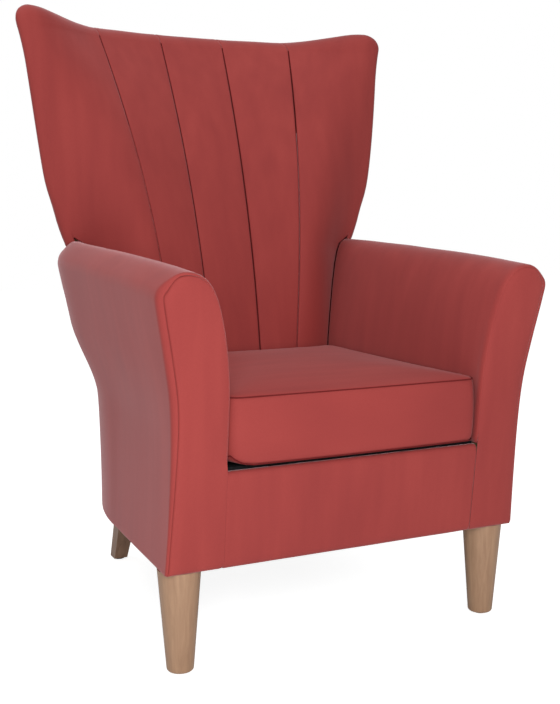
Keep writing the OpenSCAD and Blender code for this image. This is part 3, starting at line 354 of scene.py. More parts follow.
ARM_SEAM_Y = arm_end_y(CREST)
CREST_OUT_X = CREST[0] + ARM_SPLAY
WING_LOW_SHARE = ((CREST_OUT_X - fold_x(WING_LOW_H)) / (CREST_OUT_X - OUTSIDE_BACK_W / 2)) ** (1 / 3)
WING_LOW_Y = mix(turn_y(CREST[1]), rear_end_y(CREST[1]), WING_LOW_SHARE)
WING_LOW = arm_at(CREST, WING_LOW_Y)
ARM_MEET = [(q[2], q[0]) for q in (arm_at(p, arm_end_y(p)) for p in ARM_SKIN[: CREST_COL + 1])]


def panel_edge_x(z):
    return min(lookup(z, ARM_MEET), fold_x(z)) if z < WING_LOW_H else fold_x(z)


class Skin:
    """Points, lifts and faces gathered from grids. Points that coincide are joined."""

    def __init__(self):
        self.points, self.lifts, self.faces, self.index, self.seams = [], [], [], {}, set()

    def add(self, point, lift):
        key = tuple(round(float(v), 2) for v in point)
        if key not in self.index:
            self.index[key] = len(self.points)
            self.points.append([float(v) for v in point])
            self.lifts.append(lift)
        return self.index[key]

    def grid(self, rows, lifts=None, turned=False, seam=None):
        """Faces between rows of points; seam(i, j) tells which of them are part of a seam and take the dark
        seam material, painted shade.
        """
        lifts = lifts or [[0.0] * len(row) for row in rows]
        ids = [[self.add(p, h) for p, h in zip(row, lift)] for row, lift in zip(rows, lifts)]
        for i, (a, b) in enumerate(zip(ids, ids[1:])):
            for j in range(len(a) - 1):
                face = list(dict.fromkeys([a[j], a[j + 1], b[j + 1], b[j]]))
                if len(face) > 2:
                    if seam and seam(i, j):
                        self.seams.add(len(self.faces))
                    self.faces.append(face[::-1] if turned else face)

    def normals(self, points):
        total = np.zeros_like(points)
        for face in self.faces:
            for k in range(1, len(face) - 1):
                a, b, c = points[face[0]], points[face[k]], points[face[k + 1]]
                n = np.cross(b - a, c - a)
                for v in (face[0], face[k], face[k + 1]):
                    total[v] += n
        return total / np.maximum(np.linalg.norm(total, axis=1, keepdims=True), 1e-9)

    def make(self, name, side=1, thick=0.0):
        """A mesh object, lifted along its normals; side -1 mirrors it to the left."""
        points = np.array(self.points)
        points = points + self.normals(points) * np.array(self.lifts)[:, None]
        faces = self.faces
        if side < 0:
            points[:, 0] *= -1
            faces = [f[::-1] for f in faces]
        mesh = bpy.data.meshes.new(name)
        mesh.from_pydata((points * MM).tolist(), [], faces)
        mesh.update()
        piece = bpy.data.objects.new(name, mesh)
        bpy.context.scene.collection.objects.link(piece)
        mesh.polygons.foreach_set("use_smooth", [True] * len(mesh.polygons))
        # Faces along a seam take the dark seam material: painted shade in the seam's groove
        if self.seams:
            mesh.materials.append(COVER)
            mesh.materials.append(SEAM_SHADE)
            mesh.polygons.foreach_set("material_index", [int(k in self.seams) for k in range(len(faces))])
        if thick:
            shell = piece.modifiers.new("cloth", "SOLIDIFY")
            shell.thickness = thick * MM
            shell.offset = -1
            apply_modifiers(piece)
        return piece


def apply_modifiers(piece):
    graph = bpy.context.evaluated_depsgraph_get()
    mesh = bpy.data.meshes.new_from_object(piece.evaluated_get(graph))
    piece.modifiers.clear()
    piece.data = mesh


def place(piece, material, nodes=(), body="chair"):
    """Gives a piece its material and body, and hides the nodes it stands for."""
    if len(piece.data.materials) < 2:
        piece.data.materials.clear()
        piece.data.materials.append(material)
    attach(piece, body)
    if nodes:
        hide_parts(*nodes)
    return piece


# Materials
def set_inputs(node, **values):
    for key, value in values.items():
        node.inputs[key.replace("_", " ")].default_value = value


def shader(name, roughness, **values):
    material = bpy.data.materials.new(name)
    material.use_nodes = True
    tree = material.node_tree
    body = tree.nodes["Principled BSDF"]
    set_inputs(body, Roughness=roughness, **values)
    return material, tree, body


def noise_texture(tree, scale, stretch, detail, roughness=0.6, distortion=0.0):
    """A noise over the piece's own coordinates, with a stretch for each axis."""
    source = tree.nodes.new("ShaderNodeTexCoord")
    mapping = tree.nodes.new("ShaderNodeMapping")
    set_inputs(mapping, Scale=stretch)
    tree.links.new(source.outputs["Object"], mapping.inputs["Vector"])
    made = tree.nodes.new("ShaderNodeTexNoise")
    set_inputs(made, Scale=scale, Detail=detail, Roughness=roughness, Distortion=distortion)
    tree.links.new(mapping.outputs["Vector"], made.inputs["Vector"])
    return made.outputs["Fac"]


def blend(tree, share, a, b):
    """A mix of two values, in which b has the given share."""
    made = tree.nodes.new("ShaderNodeMix")
    set_inputs(made, Factor=share)
    tree.links.new(a, made.inputs[2])
    tree.links.new(b, made.inputs[3])
    return made.outputs[0]


def coloured(tree, body, source, stops):
    """Colours a surface by a value, through stops of (share, colour)."""
    made = tree.nodes.new("ShaderNodeValToRGB")
    tree.links.new(source, made.inputs["Fac"])
    elements = made.color_ramp.elements
    while len(elements) < len(stops):
        elements.new(0.5)
    for element, (share, colour) in zip(elements, stops):
        element.position = share
        element.color = (*colour, 1.0)
    tree.links.new(made.outputs["Color"], body.inputs["Base Color"])


def bumped(tree, body, height, strength, distance):
    made = tree.nodes.new("ShaderNodeBump")
    set_inputs(made, Strength=strength, Distance=distance)
    tree.links.new(height, made.inputs["Height"])
    tree.links.new(made.outputs["Normal"], body.inputs["Normal"])


def hex_colour(text):
    """A colour written as on screen, in the linear values that a shader takes."""
    parts = [int(text[i : i + 2], 16) / 255 for i in (0, 2, 4)]
    return tuple(v / 12.92 if v <= 0.04045 else ((v + 0.055) / 1.055) ** 2.4 for v in parts)


VELVET = [hex_colour(text) for text in ("903836", "983C39", "A0413D")]
PILE_SHEEN = (*hex_colour("FFE2E6"), 1.0)


def velvet(name, nap, sheen):
    """Cut pile cloth: faint streaks along the nap, soft wide patches and a fine pile."""
    material, tree, body = shader(
        name, 0.82, Sheen_Weight=sheen, Sheen_Roughness=0.36, Sheen_Tint=PILE_SHEEN, Specular_IOR_Level=0.2
    )
    streaks = noise_texture(tree, 1.0, nap, 2.0, 0.5)
    patches = noise_texture(tree, 5.0, (1.0, 1.0, 0.7), 1.0, 0.4)
    pile = noise_texture(tree, 900.0, (1.0, 1.0, 0.5), 2.0)
    shade = blend(tree, 0.3, blend(tree, 0.45, streaks, patches), pile)
    coloured(tree, body, shade, list(zip((0.34, 0.5, 0.66), VELVET)))
    bumped(tree, body, pile, 0.22, 0.0006)
    return material


def grained(
    name, colours, roughness, scale, stretch=(1.0, 1.0, 1.0), detail=4.0, distortion=0.0,
    bump=(0.3, 0.0005), **values
):
    """A surface with one grain, from a dark to a light colour."""
    material, tree, body = shader(name, roughness, **values)
    grain = noise_texture(tree, scale, stretch, detail, distortion=distortion)
    coloured(tree, body, grain, list(zip((0.3, 0.7), map(hex_colour, colours))))
    bumped(tree, body, grain, *bump)
    return material


def wood(name, colours, roughness=0.42, along=(30.0, 30.0, 2.0)):
    return grained(name, colours, roughness, 4.0, along, 5.0, 0.6, (0.15, 0.0006), Coat_Weight=0.15)


COVER = velvet("brick velvet", (34.0, 34.0, 2.0), 0.38)
CUSHION_COVER = velvet("brick velvet on the cushion", (5.0, 40.0, 9.0), 0.12)
# Dark red without sheen for faces along the seams and for the cushion's seam cords: painted shade in the
# grooves and where parts meet
SEAM_SHADE = grained("seam", ("5E1A1B", "702324"), 0.9, 600.0, Specular_IOR_Level=0.1)
FOAM = grained("foam", ("D8CBA0", "EFE4C4"), 0.95, 260.0)
# Felt, made near black: the felt is real, and where it shows in the gap under the cushion its darkness is
# painted shade
FELT = grained("felt", ("161617", "262628"), 0.95, 300.0, Specular_IOR_Level=0.1)
BLACK_CLOTH = grained("black cloth", ("0C0C0D", "18181A"), 0.95, 500.0, Specular_IOR_Level=0.1)
FRONT_LEG_WOOD = wood("pale beech", ("977459", "AD896B"))
# The rear legs take a darker beech than the front legs
REAR_LEG_WOOD = wood("darker beech", ("86654F", "A07C64"))
FRAME_WOOD = wood("sawn timber", ("B0916A", "D0B48C"), 0.7)
PLYWOOD = wood("plywood", ("BC9C70", "DCC296"), 0.65, (4.0, 30.0, 30.0))
STEEL = grained("steel", ("8A8C90", "B0B2B6"), 0.35, 90.0, bump=(0.3, 0.0001), Metallic=1.0)
GLIDES = grained("glides", ("161616", "2A2A2A"), 0.5, 200.0)
ZIP = grained("zip tape", ("6A2A2A", "8A3A38"), 0.8, 400.0)

NODE_MATERIALS = {
    "cover": COVER, "foam": FOAM, "felt": FELT, "black_cloth": BLACK_CLOTH, "front_legs": FRONT_LEG_WOOD,
    "rear_legs": REAR_LEG_WOOD, "frame_timber": FRAME_WOOD, "plywood": PLYWOOD, "steel": STEEL,
    "glides": GLIDES, "zip": ZIP,
}

# Panels of the inside back, from seam to seam, over the top edge and down to the rear seam
EDGE_STEPS = [0.0, 0.6, 1.4, 2.4, 3.6, 5.0, 7.0, 10.0, 14.0]
EDGE_BAND = EDGE_STEPS[-1]
WING_STEPS = [0.0, 1.0, 2.1, 3.3, 4.6, 6.2, 8.0, 10.5, 14.0, 19.0, 25.0, 32.0]
EAR_LEVELS = [37.0, 29.0, 22.5, 17.5, 13.5, 10.5, 8.0, 6.2, 4.6, 3.3, 2.1, 1.0, 0.0]
GROOVE_R = 5.0
BACK_ROWS = 48
MID_COLS = 12
ROLL_STEPS = 12
TUCK_D = 6.0
CREST_TUCK_D = 22.0
FAINT_SEAM_LOW_H = 890.0
FAINT_SHARE = 0.25
FAR_D = 98.0
SEAM_DEPTHS = {-OUTER: 3.2, -INNER: 4.2, INNER: 5.0, OUTER: 5.6}
WING_SEAM_DEPTH = 2.4
EAR_LEAN = 18.0
MOST_TURN = 45.0
TOP_SEAM_SHARE = 0.45
FADE_H = 110.0
FAINT_RUN_H = 60.0
PUCKER, PUCKER_RUN = 0.5, 8.0
SOFTNESS, SOFT_RUN = 0.7, 20.0
HOLD_H = 20.0


def groove(d, depth=5.0, r=GROOVE_R):
    """How far cloth dips at distance d from a seam that draws it in."""
    return 0.0 if d >= r else -depth * (1 - math.sqrt(max(0.0, 1 - (1 - d / r) ** 2)))


def row_shares():
    """Shares of the height of the inside back, close together under the top edge."""
    high = [1 - d / (TOP_H - PLATFORM_H) for d in EAR_LEVELS]
    return [high[0] * k / BACK_ROWS for k in range(BACK_ROWS)] + high


def panel_columns(edge):
    """Columns across a panel as (share, offset), close together by a seam or by the edge."""
    high = WING_STEPS if edge else EDGE_STEPS
    middle = [(k / MID_COLS, mix(EDGE_BAND, -high[-1], k / MID_COLS)) for k in range(MID_COLS + 1)]
    return [(0.0, d) for d in EDGE_STEPS[:-1]] + middle + [(1.0, -d) for d in high[-2::-1]]


def slope(surface, x, z, out):
    """How fast a surface runs along Y as its point moves in the direction out."""
    step = 2.0
    there = surface(x - out[0] * step, z - out[1] * step)
    return clamp((surface(x, z) - there) / step, -0.9, 0.9)


def roll_section(x, z, angle, bulge_share=1.0):
    """The rounded edge at a station, from the inside face over to the outside face."""
    out = (math.cos(math.radians(angle)), math.sin(math.radians(angle)))
    bulge = bulge_share * mix(EDGE_R, TOP_FOLD_H, angle / 90) * 4 / 3
    front = np.array([x, inside_y(x, z), z])
    rear = np.array([x, outside_y(x, z), z])
    a = front + bulge * np.array([out[0], slope(inside_y, x, z, out), out[1]])
    b = rear + bulge * np.array([out[0], slope(outside_y, x, z, out), out[1]])
    section = []
    for k in range(ROLL_STEPS + 1):
        t = k / ROLL_STEPS
        s = 1 - t
        section.append(front * s**3 + 3 * a * t * s * s + 3 * b * t * t * s + rear * t**3)
    return section


def seam_x(index, z):
    x = panel_edge_x(z) if abs(index) == WING_EDGE else spread_x(abs(index), z)
    return x if index > 0 else -x


def panel_lift(gaps, depths, fading, u, seed, z):
    """The swell of a panel at its distances from two seams, which draw in and pucker the cloth."""
    near = min(gaps)
    head = ease((TOP_H - z) / FADE_H)
    full = mix(0.35, 0.75, ease((z - WAIST_H) / (WING_BOW_LOW_H - WAIST_H)))
    swell = full * FLUTE_CROWN * math.sin(math.pi * clamp(u)) ** 0.8 * head
    faint = mix(FAINT_SHARE, 1, ease((z - FAINT_SEAM_LOW_H + FAINT_RUN_H) / FAINT_RUN_H / 2))
    dips = [groove(d, depth * (faint if fades else 1)) for d, depth, fades in zip(gaps, depths, fading)]
    pucker = PUCKER * math.exp(-near / PUCKER_RUN) * waver(seed, z / 12.0)
    soft = SOFTNESS * waver(seed + 3, u * 2.0, z / 110.0)
    return swell + min(dips) * mix(TOP_SEAM_SHARE, 1, head) + pucker + soft * ease(near / SOFT_RUN)


# The low end of a wing's edge narrows and closes on the crest of the arm
FOOT_H = 14.0
FOOT_HEIGHTS = [0.0, 0.7, 1.6, 3.0, 5.0, 8.0, 11.0]
FOOT_TUCK = 3.0
FOOT_RISE = 130.0
FOOT_SHARE = 0.8


def foot_share(h):
    """How far the wing has swelled out to its full outline, at height h above the arm."""
    s = clamp(1 - h / FOOT_H)
    return max(0.12, math.sqrt(1 - s * s))


def foot_point(foot, full, h, hold=0.0):
    """A point drawn in towards the arm's crest; hold 1 leaves it at its full outline."""
    share = mix(foot_share(h), 1.0, hold)
    return mix(foot, full, share) - np.array([0, 0, FOOT_TUCK if h == 0 else 0])


def edge_share(rise):
    """The roll's fullness, which is less at the wing's foot and at its waist."""
    waist = WING_WAIST_SHARE * math.exp(-(((rise - WING_WAIST_RISE) / WING_WAIST_D) ** 2))
    return mix(FOOT_SHARE, 1.0, ease(rise / FOOT_RISE)) - waist


def side_sections(edge):
    """Sections of the wing's edge from the crest of the arm up to the ear."""
    sides = []
    for h in FOOT_HEIGHTS:
        z = WING_LOW[2] + h
        full = roll_section(fold_x(z), z, 0, edge_share(h))
        holds = [(1 - k / ROLL_STEPS) ** 3 for k in range(ROLL_STEPS + 1)]
        sides.append([foot_point(WING_LOW, q, h, hold) for q, hold in zip(full, holds)])
    for level, p in edge:
        rise = p[2] - WING_LOW[2]
        if rise > FOOT_H:
            sides.append(roll_section(p[0], p[2], ear_turn(TOP_H - level), edge_share(rise)))
    return sides


def panel_seam(low, high, edge, last):
    """Tells which faces of a panel take the dark seam material, painted shade in the grooves; the outer seam
    shows near the top alone, and the wing panel shows it below the arm's top, where it meets the arm.
    """

    def seam(i, j):
        level = edge[i][0]
        if high == WING_EDGE and j >= last - 2:
            return level < WING_LOW_H - 6
        if (low == OUTER and j < 1) or (high == OUTER and j >= last - 1):
            return level > FAINT_SEAM_LOW_H
        return j < 2 or (j >= last - 2 and high != WING_EDGE)

    return seam


def back_panel(name, low, high, depths, side, nodes):
    """One padded panel from seam to seam; the one at the side wraps the wing's edge too."""
    skin = Skin()
    wing = high == WING_EDGE
    columns = panel_columns(wing)
    rows, lifts, edge = [], [], []
    for t in row_shares():
        level = mix(PLATFORM_H, TOP_H, t)
        a, b = seam_x(low, level), seam_x(high, level)
        row, lift = [], []
        for share, offset in columns:
            x = mix(a, b, share) + offset
            z = mix(PLATFORM_H, fold_h(x), t)
            hold = ease((z - WING_LOW_H + HOLD_H) / HOLD_H / 2) if wing else 0.0
            tuck = TUCK_D * (1 - hold) if wing and share == 1 and offset == 0 else 0.0
            row.append(np.array([x + tuck, inside_y(x, z) + 0.3 * tuck, z]))
            gaps = (x - a, mix(b - x, FAR_D, hold))
            fading = (low == OUTER, high == OUTER)
            lift.append(panel_lift(gaps, depths, fading, (x - a) / (b - a), low + 5, z))
        rows.append(row)
        lifts.append(lift)
        edge.append((level, row[-1]))
    skin.grid(rows, lifts, seam=panel_seam(low, high, edge, len(columns) - 1))
    top = rows[-1]
    sections = []
    for p in top:
        d = top[-1][0] - p[0]
        turn = min(ear_turn(d) + EAR_LEAN * ear_drop(d), MOST_TURN) if wing else 0
        sections.append(roll_section(p[0], p[2], 90 - turn))
    over_lifts = []
    for k in range(ROLL_STEPS + 1):
        fade = 1 - 0.4 * ease(k / ROLL_STEPS)
        dip = groove((ROLL_STEPS - k) * 5.0, 3.0)
        over_lifts.append([lift * fade + dip for lift in lifts[-1]])
    skin.grid([[section[k] for section in sections] for k in range(ROLL_STEPS + 1)], over_lifts)
    if wing:
        skin.grid(side_sections(edge))
    place(skin.make(name, side, SKIN_T), COVER, nodes)


centre_depths = (SEAM_DEPTHS[-INNER], SEAM_DEPTHS[INNER])
back_panel("back_panel_centre", -INNER, INNER, centre_depths, 1, ["centre_flute", "back_edge_roll"])
for side, word in SIDES:
    inner_d, outer_d = SEAM_DEPTHS[side * INNER], SEAM_DEPTHS[side * OUTER]
    inner, outer = f"back_panel_inner_{word}", f"back_panel_wing_{word}"
    back_panel(inner, INNER, OUTER, (inner_d, outer_d), side, [f"inner_flute_{word}"])
    back_panel(outer, OUTER, WING_EDGE, (outer_d, WING_SEAM_DEPTH), side, [f"wing_flute_{word}"])

# The arms: one cover from the seat over the crest and down the outside
ARM_ROWS = 26
REAR_ROWS = 12
FRONT_STEPS = [0.0, 0.3, 0.8, 1.6, 2.7, 4.2, 6.0, 8.5, 12.0, 16.0, 23.0]
REAR_STEPS = [14.0, 9.0, 5.5, 3.0, 1.2, 0.0]
ARM_FRONT_R = 4.5
ARM_FRONT_SOFT_R = 13.0
NOSE_IN = 4.0
NOSE_D = 30.0
SOFT_COLS = (22, 36)
SOFT_SHARE = 0.2
NOSE_COLS = (8, 18)
TUCK_COLS = (28, 36)
CREST_COLS = 6
OUTER_INSET = 6.0
OUTER_COLS = (36, 42)
LOW_COLS = (60, 72)


def crisp_share(c, side):
    """How crisp the seam round an arm's face is: least on the inner side of the arm."""
    return eased(c, *SOFT_COLS) * (1.0 if side < 0 else SOFT_SHARE)


def arm_rows(front, end):
    """Places along Y, close together by the front edge and the rear end."""
    first = [front + d for d in FRONT_STEPS]
    tail = [end - d for d in REAR_STEPS]
    run = [mix(first[-1], tail[0], k / ARM_ROWS) for k in range(1, ARM_ROWS)]
    return first + run + tail


def low_round(z, r, depth):
    """How far cloth curves in by the low edge of the body."""
    s = clamp(1 - (z - LEG_H) / r)
    return depth * (1 - math.sqrt(1 - s * s))


def facing_inset(c):
    """How far inside the arm's edge its face begins: further in on the outer side."""
    return FACING_INSET + OUTER_INSET * eased(c, *OUTER_COLS) * (1 - eased(c, *LOW_COLS))


def nose(c, d_front):
    """How far the inner edge of the arm swells towards the cushion by its face."""
    return NOSE_IN * ease(1 - d_front / NOSE_D) * (1 - eased(c, *NOSE_COLS))


def arm_lift(d_front, d_end, c, y, side):
    """The lift of the arm's skin in column c: rounded to its face, drawn in at its rear seam."""
    front = nose(c, d_front)
    inset = facing_inset(c)
    r = mix(ARM_FRONT_SOFT_R, ARM_FRONT_R * inset / FACING_INSET, crisp_share(c, side))
    if d_front < r:
        front -= inset * (1 - math.sqrt(max(0.0, 1 - (1 - d_front / r) ** 2)))
    soft = 0.6 * waver(2 + side, c / 12.0, y / 90.0) * ease(d_front / 40)
    low = low_round(ARM_SKIN[c][1], 5.0, 3.5) if c > CREST_COL else 0.0
    return front + groove(d_end, 2.2) + soft - low


def arm_cover(word, side):
    skin = Skin()
    lifts, grids = [], []
    for c, p in enumerate(ARM_SKIN[: CREST_COL + 1]):
        end = arm_end_y(p)
        tuck = mix(TUCK_D, CREST_TUCK_D, eased(c, *TUCK_COLS))
        grids.append([arm_at(p, y) for y in arm_rows(face_y(p[1]), end) + [end + tuck / 2, end + tuck]])
    for c, line in enumerate(grids):
        front, end = line[0][1], line[-3][1]
        hold = ease((CREST_COL - c) / CREST_COLS)
        lifts.append([arm_lift(q[1] - front, mix(FAR_D, end - q[1], hold), c, q[1], side) for q in line])
    near_end = len(grids[0]) - 5

    # The cover's rear rows on its inner side, where the arm meets the back, take the dark seam material:
    # painted shade in the crease
    def seam(i, j):
        return j >= near_end and i < CREST_COL - CREST_COLS

    skin.grid(grids, lifts, turned=True, seam=seam)
    wing_share = (WING_LOW_Y - ARM_SEAM_Y) / (rear_end_y(CREST[1]) - ARM_SEAM_Y)
    outer, outer_lifts = [], []
    for c in range(CREST_COL, LAST_COL + 1):
        p = ARM_SKIN[c]
        ys = arm_rows(face_y(p[1]) + low_round(p[1], 9.0, 7.0), ARM_SEAM_Y)
        end = rear_end_y(p[1])
        ys += [mix(ARM_SEAM_Y, end, wing_share * k / 3) for k in (1, 2, 3)]
        start = ys[-1]
        ys += [mix(start, end, k / REAR_ROWS) for k in range(1, REAR_ROWS + 1)]
        outer.append([arm_at(p, y) for y in ys])
        outer_lifts.append([arm_lift(y - ys[0], end - y, c, y, side) for y in ys])
    skin.grid(outer, outer_lifts, turned=True)
    piece = skin.make(f"arm_cover_{word}", side, SKIN_T)
    place(piece, COVER, [f"inside_arm_{word}", f"outside_arm_{word}"])


# Flat pieces are filled with triangles inside an outline, with rows close by its edge
def spread(line, step):
    """Points at even distances along a closed outline, its corners kept."""
    out = []
    for a, b in zip(line, line[1:] + line[:1]):
        count = max(1, round(float(np.linalg.norm(b - a)) / step))
        out += [mix(a, b, k / count) for k in range(count)]
    return out


def edge_distance(points, line):
    """The distance of each point from a closed outline, and whether the point is inside."""
    a = np.array(line)
    b = np.roll(a, -1, axis=0)
    run = b - a
    p = np.array(points)[:, None, :]
    t = np.clip(((p - a) * run).sum(2) / np.maximum((run * run).sum(1), 1e-12), 0, 1)
    gap = np.linalg.norm(p - (a + t[..., None] * run), axis=2).min(1)
    above = (a[:, 1] > p[..., 1]) != (b[:, 1] > p[..., 1])
    rise = np.where(np.abs(run[:, 1]) < 1e-12, 1e-12, run[:, 1])
    cross = a[:, 0] + (p[..., 1] - a[:, 1]) / rise * run[:, 0] > p[..., 0]
    return gap, (above & cross).sum(1) % 2 == 1


def filled(outline, insets, step, holes=()):
    """Points and triangles inside an outline, without those in the holes."""
    line = spread(outline, step)
    n = len(line)
    points = []
    for d in insets:
        for i in range(n):
            run = line[(i + 1) % n] - line[i - 1]
            normal = np.array([-run[1], run[0]]) / np.linalg.norm(run)
            points.append((line[i] + d * normal, d))
            points.append((line[i] - d * normal, d))
    low, high = np.min(line, axis=0), np.max(line, axis=0)
    inner = insets[-1] + step * 0.7
    for i, x in enumerate(np.arange(low[0], high[0], step)):
        for z in np.arange(low[1] + step * 0.5 * (i % 2), high[1], step):
            points.append((np.array([x, z]), inner))
    gaps, inside = edge_distance([p for p, _ in points], line)
    kept = [p for (p, d), gap, within in zip(points, gaps, inside) if within and gap > d - 0.1]
    edges = [(i, (i + 1) % n) for i in range(n)]
    places = line + kept
    for hole in holes:
        base = len(places)
        places += list(hole)
        edges += [(base + i, base + (i + 1) % len(hole)) for i in range(len(hole))]
    made = geometry.delaunay_2d_cdt([Vector(p) for p in places], edges, [], 1, 0.01)
    points, triangles = [np.array(p) for p in made[0]], [list(f) for f in made[2]]
    for hole in holes:
        middles = [sum(points[v] for v in f) / 3 for f in triangles]
        _, within = edge_distance(middles, list(hole))
        triangles = [f for f, gone in zip(triangles, within) if not gone]
    return points, triangles, edge_distance(points, line)[0]


def fill_skin(outline, insets, step, surface, holes=()):
    """A skin over a filled outline; surface(x, z, d) is its point at distance d from the edge."""
    points, triangles, gaps = filled(outline, insets, step, holes)
    skin = Skin()
    ids = [skin.add(surface(p[0], p[1], d), 0.0) for p, d in zip(points, gaps)]
    for f in triangles:
        face = [ids[v] for v in f]
        if len(set(face)) == 3:
            skin.faces.append(face)
    return skin


# Arm facings: a padded face inside the arm's edge; its seam fades on the inner side
CRISP_DEPTHS = [
    (0.0, 6.5), (0.5, 1.8), (1.3, 0.4), (2.6, -0.6), (4.6, -1.4), (8.0, -2.1), (14.0, -2.6), (26.0, -3.0)
]
SOFT_DEPTHS = [
    (0.0, 0.6), (0.5, 0.15), (1.3, -0.1), (2.6, -0.4), (4.6, -0.9), (8.0, -1.5), (14.0, -2.3), (26.0, -3.0)
]
LOW_EDGE_DEPTHS = [(0.0, 7.0), (0.6, 3.4), (2.0, 0.6), (4.5, -1.4), (9.0, -3.0)]
FACING_INSETS = [0.5, 1.3, 2.6, 4.6, 8.0]
FACING_STEP = 5.0
FACING_T = 1.5
BORDER_HALF_W = ARM_IN_X - NOSE_IN + 2.5
FACE_START_COL = 2
FACE_LINE = [
    ARM_SKIN[c] + (nose(c, 0) - facing_inset(c)) * line_normal(ARM_SKIN, c)
    for c in range(FACE_START_COL, LAST_COL)
]


def facing_depth(x, z, side):
    """How far behind the plane of the arm's front its face lies at a point."""
    gaps = [float(np.linalg.norm(p - (x, z))) for p in FACE_LINE]
    k = int(np.argmin(gaps))
    near = min(
        segment_distance(np.array([x, z]), FACE_LINE[i], FACE_LINE[i + 1])
        for i in range(max(0, k - 1), min(len(FACE_LINE) - 1, k + 1))
    )
    crisp = crisp_share(k + FACE_START_COL, side)
    depth = mix(lookup(near, SOFT_DEPTHS), lookup(near, CRISP_DEPTHS), crisp)
    if z < BORDER_TOP_H and near > x - BORDER_HALF_W:
        depth = max(depth, lookup(near, SOFT_DEPTHS))
    return max(depth, lookup(z - LEG_H, LOW_EDGE_DEPTHS))


def segment_distance(p, a, b):
    run = b - a
    t = clamp(float(np.dot(p - a, run) / max(1e-9, np.dot(run, run))))
    return float(np.linalg.norm(p - a - t * run))


def facing(word, side):
    low_x = ARM_SKIN[LAST_COL][0] - FACING_INSET
    corners = [(low_x, LEG_H), (BORDER_HALF_W, LEG_H), (BORDER_HALF_W, BORDER_TOP_H + 1)]
    outline = FACE_LINE + [np.array(p) for p in corners]

    def surface(x, z, d):
        soft = 0.5 * waver(20 + side, x / 45, z / 60) * ease(d / 12)
        return np.array([x, face_y(z) + facing_depth(x, z, side) + soft, z])

    skin = fill_skin(outline, FACING_INSETS, FACING_STEP, surface)
    piece = skin.make(f"arm_face_{word}", side, FACING_T)
    place(piece, COVER, [f"arm_facing_{word}"])


for side, word in SIDES:
    arm_cover(word, side)
    facing(word, side)

# The front border under the cushion
BORDER_ROWS = 26
BORDER_COLS = 60
BORDER_TOP_DEPTHS = [(0.0, 9.0), (0.6, 5.0), (2.0, 2.0), (4.5, -0.4), (9.0, -2.0), (16.0, -3.0)]
BORDER_SEAM_DEPTHS = {-1: 0.7, 1: 1.6}


def across_places(half, cols):
    """Places from -half to half, close together by both ends."""
    middle = [mix(-half + EDGE_BAND, half - EDGE_BAND, k / cols) for k in range(1, cols)]
    return [-half + d for d in EDGE_STEPS] + middle + [half - d for d in EDGE_STEPS[::-1]]


def border():
    skin = Skin()
    low = [LEG_H + d for d, _ in LOW_EDGE_DEPTHS]
    high = [BORDER_TOP_H - d for d, _ in BORDER_TOP_DEPTHS[::-1]]
    middle = [mix(low[-1], high[0], k / BORDER_ROWS) for k in range(1, BORDER_ROWS)]
    xs = across_places(BORDER_HALF_W, BORDER_COLS)
    rows, lifts = [], []
    for z in low + middle + high:
        depth = max(lookup(z - LEG_H, LOW_EDGE_DEPTHS), lookup(BORDER_TOP_H - z, BORDER_TOP_DEPTHS))
        rows.append([np.array([x, face_y(z) + depth, z]) for x in xs])
        lifts.append([
            groove(BORDER_HALF_W - abs(x), BORDER_SEAM_DEPTHS[1 if x > 0 else -1], 4.0)
            + 0.5 * waver(8, x / 60, z / 40)
            for x in xs
        ])
    skin.grid(rows, lifts)
    place(skin.make("front_border_cover", 1, SKIN_T), COVER, ["front_border"])


border()

# The outside of the back and of the wings
OUT_ROWS = 30
OUT_COLS = 24
WING_COLS = 16


def outside_back():
    skin = Skin()
    half = OUTSIDE_BACK_W / 2
    xs = across_places(half, OUT_COLS)
    rows, lifts = [], []
    for i in range(OUT_ROWS + 1):
        z = mix(LEG_H, TOP_H, i / OUT_ROWS)
        rows.append([np.array([x, rear_y(z), z]) for x in xs])
        lifts.append([groove(half - abs(x), 2.5, 5.0) + 0.8 * waver(12, x / 90, z / 90) for x in xs])
    skin.grid(rows, lifts, turned=True)
    place(skin.make("outside_back_cover", 1, SKIN_T), COVER, ["outside_back"])


def outside_wing(word, side):
    """The outside of a wing, from the crest of the arm up to the fold under the top edge."""
    skin = Skin()
    top_x = panel_edge_x(TOP_H)
    rows, lifts = [], []
    for i in range(1 - len(FOOT_HEIGHTS), OUT_ROWS + 1):
        row, lift = [], []
        for k in range(WING_COLS + 1):
            s = k / WING_COLS
            foot = arm_at(CREST, mix(rear_end_y(CREST[1]), WING_LOW_Y, s))
            head = fold_h(mix(OUTSIDE_BACK_W / 2, top_x, s))
            h = FOOT_HEIGHTS[i - 1] if i < 1 else mix(FOOT_H, head - foot[2], i / OUT_ROWS)
            z = foot[2] + h
            x = mix(POST_OUT_X, panel_edge_x(max(z, WING_LOW_H)), s)
            full = np.array([x, outside_y(x, z), z])
            row.append(foot_point(foot, full, h))
            lift.append(groove(s * 100, 2.5, 5.0) + groove((1 - s) * 100, 2.5, 5.0))
        rows.append(row)
        lifts.append(lift)
    skin.grid(rows, lifts, turned=True)
    piece = skin.make(f"outside_wing_cover_{word}", side, SKIN_T)
    place(piece, COVER, [f"outside_wing_{word}"])


outside_back()
for side, word in SIDES:
    outside_wing(word, side)

# The loose cushion: a box cushion, blown up between its two seams
CUSHION_LOW_H = PLATFORM_H + 0.3
CUSHION_FRONT_Y = face_y(BORDER_TOP_H) - CUSHION_NOSE
CUSHION_SIDE_GAP = 0.8
CUSHION_REAR_GAP = 2.0
REAR_CORNER_R = 14.0
REAR_CORNER_IN = 4.2
FRONT_BOW = 3.0
FRONT_IN, FRONT_IN_RUN = 2.2, 40.0
FRONT_POINTS, CORNER_POINTS, SIDE_POINTS, REAR_POINTS = 12, 8, 20, 15
SEAM_LOW, SEAM_HIGH = 3.0, 109.0
SEAM_IN = 3.5
SEAM_R = 1.1

